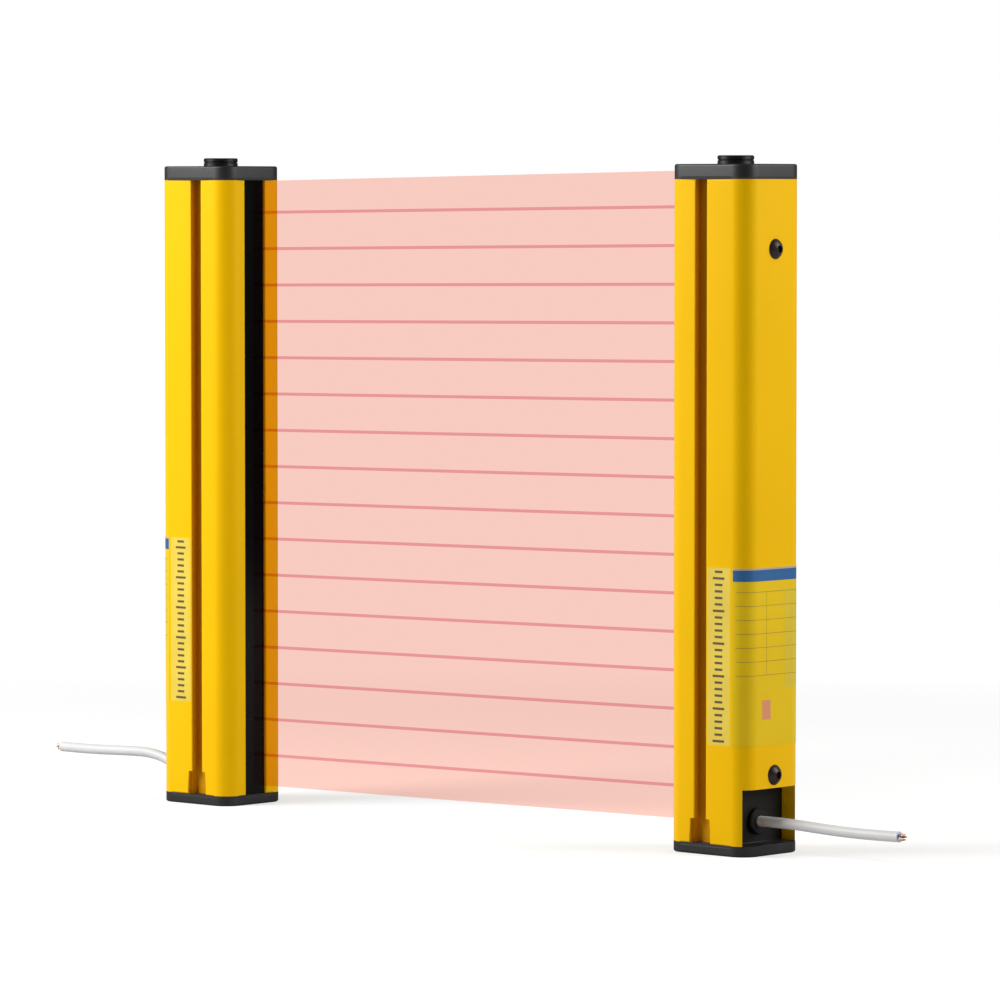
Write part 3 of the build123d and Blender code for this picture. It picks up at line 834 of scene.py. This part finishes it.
@dataclass
class CapScrews:
    """Countersunk socket screws that hold both end caps."""

    post: Post
    seats: NodeTree
    head_radius: float = 3.6 * MM
    shank_radius: float = 1.65 * MM
    length: float = 14.0 * MM
    socket: float = 1.0 * MM
    socket_depth: float = 1.6 * MM
    rim: float = 0.15 * MM
    tip: float = 0.5 * MM
    drill_point: float = 0.4 * MM
    port_step: float = 1.0 * MM

    def profile(self) -> list[Pair]:
        """The screw's outline, head flush with z 0.

        Returns:
            Rings from the tip to the bottom of the socket.
        """
        cone = self.head_radius - self.shank_radius
        return [
            (self.shank_radius - self.tip, -self.length),
            (self.shank_radius, -self.length + self.tip),
            (self.shank_radius, -cone - self.rim),
            (self.head_radius, -self.rim),
            (self.head_radius, 0.0),
            (self.socket + self.rim, 0.0),
            (self.socket, -self.rim),
            (self.socket, -self.socket_depth),
            (0.0, -self.socket_depth - self.drill_point),
        ]

    def build(self) -> None:
        """Sets four screws in each cap, flush with its face."""
        for cap, down in (("top_cap", False), ("bottom_cap", True)):
            node = f"{self.post.prefix}_{cap}_screws"
            low, high = self.post.box(f"{cap}_screws")
            screw = turned_shape(self.profile(), 36, lambda ring: 5 <= ring <= 7)
            if down:
                move(screw, Matrix.Rotation(pi, 4, "X"))
            face = low.z if down else high.z
            places = [(x, y, face) for x, y in self.ports(low, high)]
            pattern = to_mesh(screw, "cap_screw_pattern")
            seat_screws(node, self.post, self.seats, pattern, places)

    def ports(self, low: Vector, high: Vector) -> list[Pair]:
        """Axes of the four screws of a cap.

        Args:
            low: Lowest corner of the box round the screws.
            high: Its highest corner.

        Returns:
            x and y of each axis in the post's own frame.
        """
        front = high.x - self.head_radius
        rear = low.x + self.head_radius
        wide = high.y - self.head_radius
        narrow = wide - self.port_step
        return [(front, narrow), (front, -narrow), (rear, wide), (rear, -wide)]


@dataclass
class EndCaps:
    """Both black caps, their flat seals and the gland in the lower one."""

    post: Post
    moulded_edge: float = 0.3 * MM
    seal_edge: float = 0.12 * MM
    plate_foot: float = 6.0 * MM

    def build(self) -> None:
        """Makes the caps, the seals and the gland with their edges rounded."""
        for node, slot, width in (
            ("top_cap", "cap_black", self.moulded_edge),
            ("bottom_cap", "cap_black", self.moulded_edge),
            ("top_gasket", "seal_rubber", self.seal_edge),
            ("bottom_gasket", "seal_rubber", self.seal_edge),
            ("cable_gland", "gland_black", self.seal_edge),
        ):
            piece = softened(self.post, node, slot, width)
            if node == "bottom_cap":
                # The outlet plate, which stands in the recess, takes the gland's duller black as
                # painted shade for the recess
                second_finish(piece, "gland_black", lambda face: face.center.z > self.plate_foot)


@dataclass
class PivotStud:
    """Turned stud on the top cap, with a threaded hole down its middle."""

    post: Post
    stem_radius: float = 5.0 * MM
    thread_core: float = 2.5 * MM
    thread_pitch: float = 1.0 * MM
    thread_depth: float = 8.0 * MM
    thread_height: float = 0.45 * MM
    thread_start: float = 0.3 * MM
    thread_relief: float = 0.1 * MM
    mouth: float = 0.2 * MM
    groove: float = 0.35 * MM
    groove_from: float = 1.4 * MM
    groove_to: float = 2.0 * MM
    edge: float = 0.5 * MM

    def build(self) -> None:
        """Makes the stud as one turned shape."""
        low, high = self.post.box("pivot_stud")
        radius = (high.x - low.x) / 2
        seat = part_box(f"{self.post.prefix}_top_cap")[1][2]
        profile = [
            (0.0, low.z),
            (self.stem_radius - self.edge / 2, low.z),
            (self.stem_radius, low.z + self.edge / 2),
            (self.stem_radius, seat),
            (radius, seat),
            (radius, seat + self.groove_from),
            (radius - self.groove, seat + self.groove_from + self.groove),
            (radius - self.groove, seat + self.groove_to),
            (radius, seat + self.groove_to + self.groove),
            (radius, high.z - self.edge),
            (radius - self.edge, high.z),
            (self.thread_core + self.thread_height + self.mouth, high.z),
        ]
        profile += self.thread(high.z)
        stud = turned_shape(profile, 60)
        move(stud, self.post.place())
        name = f"{self.post.prefix}_pivot_stud"
        stand_in(name, to_mesh(stud, name, 28.0), "stud_black")

    def thread(self, top: float) -> list[Pair]:
        """The threaded hole's outline.

        Args:
            top: Height of the stud's upper face.

        Returns:
            Rings from the mouth down to the bottom of the hole.
        """
        crests = int((self.thread_depth - self.thread_pitch) / self.thread_pitch)
        rings = []
        for turn in range(crests):
            height = top - self.thread_start - turn * self.thread_pitch
            rings.append((self.thread_core + self.thread_height, height))
            rings.append((self.thread_core, height - self.thread_pitch / 2))
        bottom = top - self.thread_depth
        rings.append((self.thread_core, bottom + self.thread_relief))
        rings.append((0.0, bottom))
        return rings


@dataclass
class RearScrews:
    """Two button-head screws in the rear face."""

    post: Post
    seats: NodeTree
    head_radius: float = 4.75 * MM
    head_height: float = 2.75 * MM
    socket: float = 1.5 * MM
    socket_depth: float = 1.6 * MM
    shank_radius: float = 2.1 * MM
    rim: float = 0.35 * MM
    tip: float = 0.5 * MM
    under_edge: float = 0.1 * MM
    crown: float = 0.02 * MM
    socket_edge: float = 0.25 * MM
    drill_point: float = 0.5 * MM
    dome_steps: int = 7

    def profile(self, length: float) -> list[Pair]:
        """The screw's outline, head standing on z 0.

        Args:
            length: Length of the shank.

        Returns:
            Rings from the tip of the shank to the bottom of the socket.
        """
        bulge = (self.head_radius**2 + self.head_height**2) / (2 * self.head_height)
        full = acos(1 - self.head_height / bulge)
        inner = self.socket + self.rim
        rings = [
            (self.shank_radius - self.tip, -length),
            (self.shank_radius, -length + self.tip),
            (self.shank_radius, 0.0),
            (self.head_radius - self.under_edge, 0.0),
        ]
        for step in range(self.dome_steps):
            angle = full * (1 - step / self.dome_steps)
            radius = max(inner, bulge * sin(angle))
            rings.append((radius, self.head_height - bulge * (1 - cos(angle))))
            if radius == inner:
                break
        top = rings[-1][1]
        rings += [
            (self.socket + self.rim / 3, top + self.crown),
            (self.socket, top - self.socket_edge),
            (self.socket, top - self.socket_depth),
            (0.0, top - self.socket_depth - self.drill_point),
        ]
        return rings

    def build(self) -> None:
        """Sets both screws on the rear face."""
        low, high = self.post.box("rear_screws")
        rear = self.post.box("housing")[0].x
        rings = self.profile(high.x - rear)
        sockets = len(rings) - 4
        shape = turned_shape(rings, 48, lambda ring: ring >= sockets)
        move(shape, Matrix.Rotation(-pi / 2, 4, "Y"))
        heights = (low.z + self.head_radius, high.z - self.head_radius)
        places = [(rear, 0.0, height) for height in heights]
        pattern = to_mesh(shape, "rear_screw_pattern", 30.0)
        seat_screws(f"{self.post.prefix}_rear_screws", self.post, self.seats, pattern, places)


@dataclass(frozen=True)
class Patch:
    """One printed field of the label.

    Args:
        slot: Its finish.
        left: Where it starts along the surface, from the middle of the rear face.
        right: Where it ends.
        bottom: Its lower edge up the post.
        top: Its upper edge.
        layer: 0 for the foil, 1 and up for print.
    """

    slot: str
    left: float
    right: float
    bottom: float
    top: float
    layer: int = 1


@dataclass
class RatingLabel:
    """Foil across the rear face and round its corners, with plain printed fields."""

    post: Post
    foil: float = 0.1 * MM
    ink: float = 0.03 * MM
    header: float = 6.2 * MM
    border: float = 1.0 * MM
    inset: float = 0.2 * MM
    margin: float = 1.6 * MM
    first_row: float = 5.0 * MM
    divider_share: float = 0.25
    pale_share: float = 0.3
    pale_foot: float = 26.0 * MM
    pale_gap: float = 4.0 * MM
    red_sides: Pair = (3.0 * MM, 9.0 * MM)
    red_ends: Pair = (12.0 * MM, 21.0 * MM)
    line: float = 0.5 * MM
    rows: int = 7
    row_pitch: float = 6.4 * MM
    wrap_short: float = 1.2 * MM
    step: float = 0.8 * MM

    def patch(self, shape: BMesh, section: Section, area: Patch, slots: list[str]) -> None:
        """Adds one thin closed patch that follows the rear face and its corners.

        Args:
            shape: Where the patch goes.
            section: The post's outline.
            area: The patch.
            slots: Finish slots in material order, for the patch's material number.
        """
        inner = 0.0 if area.layer == 0 else self.foil
        outer = self.foil if area.layer == 0 else self.foil + self.ink * area.layer
        count = max(2, int((area.right - area.left) / self.step) + 1)
        columns = []
        for k in range(count + 1):
            along = area.left + (area.right - area.left) * k / count
            column = []
            for proud, height in (
                (inner, area.bottom), (outer, area.bottom), (outer, area.top), (inner, area.top)
            ):
                x, y = section.rear_point(along, proud)
                column.append(shape.verts.new((x, y, height)))
            columns.append(column)
        made = [shape.faces.new(columns[0]), shape.faces.new(columns[-1])]
        for first, second in zip(columns, columns[1:]):
            made += band(shape, first, second)
        for face in made:
            face.material_index = slots.index(area.slot)

    def areas(self, bottom: float, top: float, reach: float) -> list[Patch]:
        """The foil, the header and the plain fields and lines under it.

        Args:
            bottom: Lower edge of the foil.
            top: Its upper edge.
            reach: From the middle of the rear face to the foil's side edges, along the surface.

        Returns:
            All patches, the foil first.
        """
        inside = reach - self.margin
        wide = reach - self.inset
        head = top - self.header
        found = [
            Patch("label_foil", -reach, reach, bottom, top, 0),
            Patch("print_grey", -wide, wide, top - self.border, top - self.inset),
            Patch("print_blue", -wide, wide, head, top - self.border),
            Patch("print_pale", -inside, -self.pale_share * inside, bottom + self.pale_foot,
                  head - self.pale_gap),
        ]
        first = head - self.first_row
        for row in range(self.rows):
            height = first - row * self.row_pitch
            found.append(Patch("print_line", -inside, inside, height, height + self.line / 2, 2))
        last = first - (self.rows - 1) * self.row_pitch
        divider = self.divider_share * inside
        found.append(Patch("print_line", divider, divider + self.line / 2, last, first))
        low, high = self.red_ends
        found.append(Patch("print_red", *self.red_sides, bottom + low, bottom + high))
        return found

    def build(self) -> None:
        """Makes the foil and its print as one piece."""
        section = Section.of(self.post)
        low, high = self.post.box("rating_label")
        arc = section.corner * (pi / 2 - (self.wrap_short / section.corner))
        reach = section.half_width - section.corner + arc
        slots = ["label_foil", "print_blue", "print_line", "print_grey", "print_pale", "print_red"]
        shape = bmesh.new()
        for area in self.areas(low.z, high.z, reach):
            self.patch(shape, section, area, slots)
        bmesh.ops.recalc_face_normals(shape, faces=shape.faces)
        move(shape, self.post.place())
        name = f"{self.post.prefix}_rating_label"
        stand_in(name, to_mesh(shape, name), *slots)


@dataclass
class SideScale:
    """Pale strip with a plain scale of ticks up both side faces, behind the slot."""

    post: Post
    rows: NodeTree
    rear_x: float = -14.8 * MM
    front_x: float = -1.1 * MM
    backing: float = 0.025 * MM
    count: int = 27
    pitch: float = 3.0 * MM
    tick: float = 4.6 * MM
    stroke: float = 1.1 * MM
    ink: float = 0.02 * MM
    long_every: int = 5
    long_share: float = 1.5
    centre_x: float = -7.9 * MM
    clip: float = 0.8 * MM

    def strip(self, sign: int, bottom: float, top: float, face: float) -> Object:
        """Makes the backing as a thin plate with clipped corners.

        Args:
            sign: 1 for the +y face, -1 for the other.
            bottom: Lower end.
            top: Upper end.
            face: Distance of the side face from the middle.

        Returns:
            The plate, in the post's own frame.
        """
        inner = self.front_x - self.clip
        outline = [
            (self.rear_x, bottom), (inner, bottom), (self.front_x, bottom + self.clip),
            (self.front_x, top - self.clip), (inner, top), (self.rear_x, top),
        ]
        shape = bmesh.new()
        layers = [
            [shape.verts.new((x, sign * (face + proud), z)) for x, z in outline]
            for proud in (0.0, self.backing)
        ]
        for ring in layers:
            shape.faces.new(ring)
        band(shape, *layers)
        bmesh.ops.recalc_face_normals(shape, faces=shape.faces)
        name = f"{self.post.prefix}_{'left' if sign > 0 else 'right'}_strip"
        return shown(name, to_mesh(shape, name), finish_of("print_strip"))

    def ticks(self, sign: int, first: float, face: float) -> Object:
        """Makes the scale on one side.

        Args:
            sign: 1 for the +y face, -1 for the other.
            first: Height of the lowest tick.
            face: Distance of the strip's surface from the middle.

        Returns:
            The scale, in the post's own frame.
        """
        name = f"{self.post.prefix}_{'left' if sign > 0 else 'right'}_scale"
        host = shown(name, bpy.data.meshes.new(name))
        self.rows.run(host, {
            "Count": self.count, "Pitch": self.pitch, "Bar": (self.tick, self.ink, self.stroke),
            "Long Every": self.long_every, "Long Share": self.long_share,
            "Material": finish_of("print_dark"),
        })
        middle = sign * (face + self.ink / 2)
        host.data.transform(Matrix.Translation((self.centre_x, middle, first)))
        return host

    def build(self) -> None:
        """Prints a strip and a scale on each side face, at the label's height."""
        low, high = self.post.box("rating_label")
        face = Section.of(self.post).half_width
        first = (low.z + high.z) / 2 - self.pitch * (self.count - 1) / 2
        for sign in (1, -1):
            for piece in (
                self.strip(sign, low.z, high.z, face),
                self.ticks(sign, first, face + self.backing),
            ):
                piece.data.transform(self.post.place())
                register(piece, "label_foil")


@dataclass
class Cable:
    """Grey cable that leaves the gland, with its bare-ended cores."""

    post: Post
    route: list[Point]
    length: float
    exit: Point
    diameter: float = 5.0 * MM
    core_circle: float = 1.3 * MM
    core_radius: float = 0.55 * MM
    core_length: float = 3.0 * MM
    strand_radius: float = 0.36 * MM
    bared: float = 1.2 * MM
    core_edge: float = 0.1 * MM
    core_slots: tuple[str, ...] = (
        "core_brown", "core_white", "core_blue", "core_white", "core_insulation",
    )

    def curve(self) -> Object:
        """Makes the jacket as a smooth curve through the route.

        Returns:
            The curve object.
        """
        name = f"{self.post.prefix}_cable_jacket"
        line = bpy.data.curves.new(name, "CURVE")
        line.dimensions = "3D"
        line.bevel_depth = self.diameter / 2
        line.bevel_resolution = 8
        line.resolution_u = 16
        line.use_fill_caps = True
        spline = line.splines.new("NURBS")
        spline.points.add(len(self.route) - 1)
        for point, place in zip(spline.points, self.route):
            point.co = (*(self.post.place() @ Vector(place)), 1.0)
        spline.order_u = 3
        spline.use_endpoint_u = True
        line.materials.append(finish_of("cable_grey"))
        return linked(name, line)

    def cores(self) -> Object:
        """Makes the five cores at the cut end, bared at their tips.

        Returns:
            The cores as one object.
        """
        end = self.post.place() @ Vector(self.route[-1])
        before = self.post.place() @ Vector(self.route[-2])
        turn = (end - before).to_track_quat("Z", "Y").to_matrix().to_4x4()
        slots = ["core_copper", *dict.fromkeys(self.core_slots)]
        whole = bmesh.new()
        for number, slot in enumerate(self.core_slots):
            angle = tau * number / len(self.core_slots)
            seat = Matrix.Translation(
                (self.core_circle * cos(angle), self.core_circle * sin(angle), 0.0)
            )
            sleeve_end = self.core_length - self.bared
            profile = [
                (self.core_radius, 0.0),
                (self.core_radius, sleeve_end - self.core_edge),
                (self.core_radius - self.core_edge, sleeve_end),
                (self.strand_radius, sleeve_end),
                (self.strand_radius, self.core_length - self.core_edge),
                (self.strand_radius - self.core_edge, self.core_length),
            ]
            core = turned_shape(profile, 18)
            move(core, seat)
            for face in core.faces:
                bare = face.calc_center_median().z > sleeve_end + TOUCH
                face.material_index = 0 if bare else slots.index(slot)
            part = bpy.data.meshes.new("core")
            core.to_mesh(part)
            core.free()
            whole.from_mesh(part)
            bpy.data.meshes.remove(part)
        move(whole, Matrix.Translation(end) @ turn)
        name = f"{self.post.prefix}_core_ends"
        return shown(name, to_mesh(whole, name), *(finish_of(slot) for slot in slots))

    def build(self) -> None:
        jacket = self.curve()
        ends = self.cores()
        register(jacket, "cable_grey", f"{self.post.prefix}_cable")
        register(ends, "core_insulation", f"{self.post.prefix}_cable_cores")


@dataclass
class InnerPieces:
    """Boards, optics and fixings inside a post, which keep their own shapes."""

    post: Post

    def build(self) -> None:
        """Gives each node that still shows its finish from the record."""
        for entry in frame["record"]["subparts"]:
            node = frame["nodes"][entry["node"]]
            if node.hide_render or not entry["node"].startswith(self.post.prefix):
                continue
            node.data.materials.clear()
            node.data.materials.append(finish_of(entry["material_slot"]))


@dataclass
class LightField:
    """The invisible field between the posts: a pale red sheet with one line for each beam."""

    rows: NodeTree
    posts: tuple[Post, Post]
    beam_count: int = 16
    beam_pitch: float = 18.0 * MM
    line_height: float = 1.5 * MM
    line_gap: float = 0.3 * MM
    lift: float = 2.0 * MM
    rise: float = 3.4 * MM
    lower_gap: float = 2.6 * MM
    upper_gap: float = 1.2 * MM
    sheet_tint: Colour = (0.945, 0.6, 0.53)
    line_tint: Colour = (0.85, 0.52, 0.6)

    def raised(self, start: float, end: float) -> Matrix:
        """Lifts the field and lets it climb towards the receiver, as the picture draws it.

        Args:
            start: X of the emitter's window.
            end: X of the receiver's window.

        Returns:
            A shear along z.
        """
        slope = self.rise / (end - start)
        shear = Matrix.Identity(4)
        shear[2][0] = slope
        shear[2][3] = self.lift - slope * start
        return shear

    def tint(self, name: str, colour: Colour) -> Material:
        """A filter that colours what is seen through it and throws no shadow.

        Args:
            name: Name of the material.
            colour: Share of red, green and blue that passes.

        Returns:
            The material.
        """
        made = bpy.data.materials.new(name)
        made.use_nodes = True
        tree = made.node_tree
        tree.nodes.clear()
        filtered = add_node(tree, "ShaderNodeBsdfTransparent", {"Color": (*colour, 1.0)})
        clear = add_node(tree, "ShaderNodeBsdfTransparent")
        path = add_node(tree, "ShaderNodeLightPath")
        choice = add_node(tree, "ShaderNodeMixShader", {
            0: path.outputs["Is Camera Ray"], 1: clear.outputs[0], 2: filtered.outputs[0],
        })
        add_node(tree, "ShaderNodeOutputMaterial", {"Surface": choice.outputs[0]})
        return made

    def build(self) -> None:
        """Hangs the sheet and its lines between the two windows, as part of the stage."""
        emitter, receiver = self.posts
        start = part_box(f"{emitter.prefix}_front_window")[1][0]
        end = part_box(f"{receiver.prefix}_front_window")[0][0]
        low, high = emitter.box("housing")
        sheet = bpy.data.meshes.new("field_sheet")
        bottom, top = low.z + self.lower_gap, high.z - self.upper_gap
        corners = [
            (start, 0.0, bottom), (end, 0.0, bottom), (end, 0.0, top),
            (start, 0.0, top - self.upper_gap),
        ]
        sheet.from_pydata(corners, [], [(0, 1, 2, 3)])
        raised = self.raised(start, end)
        sheet.transform(raised)
        field_sheet = shown("field_sheet", sheet, self.tint("field_tint", self.sheet_tint))
        lines = shown("field_lines", bpy.data.meshes.new("field_lines"))
        self.rows.run(lines, {
            "Count": self.beam_count, "Pitch": self.beam_pitch,
            "Bar": (end - start, 0.0, self.line_height), "Long Every": 1, "Long Share": 1.0,
            "Material": self.tint("line_tint", self.line_tint),
        })
        first = (low.z + high.z) / 2 - self.beam_pitch * (self.beam_count - 1) / 2
        middle = Matrix.Translation(((start + end) / 2, -self.line_gap, first))
        lines.data.transform(raised @ middle)


@dataclass(frozen=True)
class Lamp:
    """One soft square lamp, placed from the object's middle as the camera sees it.

    Args:
        name: The lamp's name.
        right: How far to the right of the picture.
        near: How far towards the camera.
        height: How far above the object's middle.
        size: Width and height of its face.
        watts: Its power.
    """

    name: str
    right: float
    near: float
    height: float
    size: float
    watts: float


@dataclass
class Studio:
    """Floor, white surroundings, soft lamps and the camera at the photograph's angle."""

    azimuth: float = 42.41
    pitch: float = 2.97
    distance: float = 2.82167
    target: Point = (0.0208, 0.0, 0.15779)
    lens: float = 212.04
    floor_size: float = 30.0
    floor_grey: float = 0.55
    floor_glow: float = 0.55
    glow_near: float = 0.45
    glow_far: float = 0.9
    world_light: float = 0.15
    lamps: tuple[Lamp, ...] = (
        Lamp("left_box", -1.25, 0.15, 0.7, 1.0, 25.0),
        Lamp("right_box", 1.2, 0.3, 0.65, 1.0, 14.0),
    )

    def away(self) -> Vector:
        """Level direction from the object to the camera."""
        return Vector((sin(radians(self.azimuth)), -cos(radians(self.azimuth)), 0.0))

    def across(self) -> Vector:
        """Level direction to the right of the picture."""
        return Vector((cos(radians(self.azimuth)), sin(radians(self.azimuth)), 0.0))

    def camera(self) -> None:
        """Sets the camera."""
        view = bpy.data.cameras.new("camera")
        view.lens = self.lens
        view.sensor_width = 36.0
        view.clip_end = 100.0
        eye = linked("camera", view)
        tilt = radians(self.pitch)
        back = self.away() * cos(tilt) + Vector((0.0, 0.0, sin(tilt)))
        eye.location = Vector(self.target) + back * self.distance
        eye.rotation_euler = (-back).to_track_quat("-Z", "Y").to_euler()
        bpy.context.scene.camera = eye

    def hang(self, lamp: Lamp) -> None:
        """Hangs one lamp, turned to the object.

        Args:
            lamp: The lamp.
        """
        light = bpy.data.lights.new(lamp.name, "AREA")
        light.shape = "SQUARE"
        light.size = lamp.size
        light.energy = lamp.watts
        hung = linked(lamp.name, light)
        centre = Vector(self.target)
        level = self.across() * lamp.right + self.away() * lamp.near
        hung.location = centre + level + Vector((0.0, 0.0, lamp.height))
        hung.rotation_euler = (centre - hung.location).to_track_quat("-Z", "Y").to_euler()

    def floor(self) -> None:
        """A pale floor that keeps the object's soft shadow and turns white further out."""
        half = self.floor_size / 2
        mesh = bpy.data.meshes.new("floor")
        corners = [(-half, -half, 0.0), (half, -half, 0.0), (half, half, 0.0), (-half, half, 0.0)]
        mesh.from_pydata(corners, [], [(0, 1, 2, 3)])
        paint = bpy.data.materials.new("floor_paint")
        paint.use_nodes = True
        tree = paint.node_tree
        shader = tree.nodes["Principled BSDF"]
        shader.inputs["Base Color"].default_value = (*[self.floor_grey] * 3, 1.0)
        shader.inputs["Roughness"].default_value = 0.9
        shader.inputs["Specular IOR Level"].default_value = 0.0
        seen = add_node(tree, "ShaderNodeLightPath").outputs["Is Camera Ray"]
        strength = add_node(tree, "ShaderNodeMath", {0: seen, 1: self.floor_glow},
                            operation="MULTIPLY")
        glow = add_node(tree, "ShaderNodeEmission", {"Strength": strength.outputs[0]})
        near = add_node(tree, "ShaderNodeAddShader", {0: shader.outputs[0], 1: glow.outputs[0]})
        place = add_node(tree, "ShaderNodeTexCoord")
        reach = add_node(tree, "ShaderNodeVectorMath", {0: place.outputs["Object"]},
                         operation="LENGTH")
        fade = add_node(tree, "ShaderNodeMapRange", {
            "From Min": self.glow_near, "From Max": self.glow_far, "Value": reach.outputs["Value"],
        })
        share = add_node(tree, "ShaderNodeMath", {0: fade.outputs["Result"], 1: seen},
                         operation="MULTIPLY")
        far = add_node(tree, "ShaderNodeEmission")
        blend = add_node(tree, "ShaderNodeMixShader", {
            0: share.outputs[0], 1: near.outputs[0], 2: far.outputs[0],
        })
        tree.links.new(blend.outputs[0], tree.nodes["Material Output"].inputs["Surface"])
        shown("floor", mesh, paint)

    def surroundings(self) -> None:
        """Even grey light from all round, seen as white."""
        world = bpy.data.worlds.new("surroundings")
        bpy.context.scene.world = world
        world.use_nodes = True
        tree = world.node_tree
        sky = tree.nodes["Background"]
        sky.inputs["Color"].default_value = (1.0, 1.0, 1.0, 1.0)
        path = add_node(tree, "ShaderNodeLightPath")
        seen = add_node(tree, "ShaderNodeMath", {
            0: path.outputs["Is Camera Ray"], 1: path.outputs["Is Transmission Ray"],
        }, operation="MAXIMUM")
        span = add_node(tree, "ShaderNodeMapRange", {
            "To Min": self.world_light, "To Max": 1.0, "Value": seen.outputs[0],
        })
        tree.links.new(span.outputs["Result"], sky.inputs["Strength"])

    def build(self) -> None:
        """Sets the stage, the lamps and the camera."""
        bpy.context.scene.view_settings.view_transform = "Standard"
        self.floor()
        self.surroundings()
        for lamp in self.lamps:
            self.hang(lamp)
        self.camera()


def main() -> None:
    """Builds every sub-assembly of both posts, then the stage."""
    logging.basicConfig(level=logging.INFO, format="%(name)s: %(message)s")
    emitter, receiver = Post(Side.EMITTER), Post(Side.RECEIVER)
    seats, rows = seats_tree(), row_tree()
    routes = {
        Side.EMITTER: [
            (-15.5, 0.0, 15.0), (-30.0, 0.0, 15.0), (-48.0, 0.4, 21.2),
            (-72.0, 0.2, 20.8), (-94.0, -0.5, 20.0), (-116.2, -0.2, 20.0),
        ],
        Side.RECEIVER: [
            (-15.5, 0.0, 15.0), (-32.0, 0.0, 15.2), (-54.0, -0.3, 13.9),
            (-77.0, -0.2, 13.3), (-98.0, 0.4, 13.8),
        ],
    }
    lengths = {Side.EMITTER: 102.0 * MM, Side.RECEIVER: 82.6 * MM}
    for post in (emitter, receiver):
        route = [(x * MM, y * MM, z * MM) for x, y, z in routes[post.side]]
        start = post.place() @ Vector(route[0])
        Cable(post, route, lengths[post.side], tuple(start)).build()
        Housing(post).build()
        EndCaps(post).build()
        CapScrews(post, seats).build()
        PivotStud(post).build()
        RearScrews(post, seats).build()
        RatingLabel(post).build()
        SideScale(post, rows).build()
        InnerPieces(post).build()
    LightField(rows, (emitter, receiver)).build()
    Studio().build()


if __name__ == "__main__":
    main()
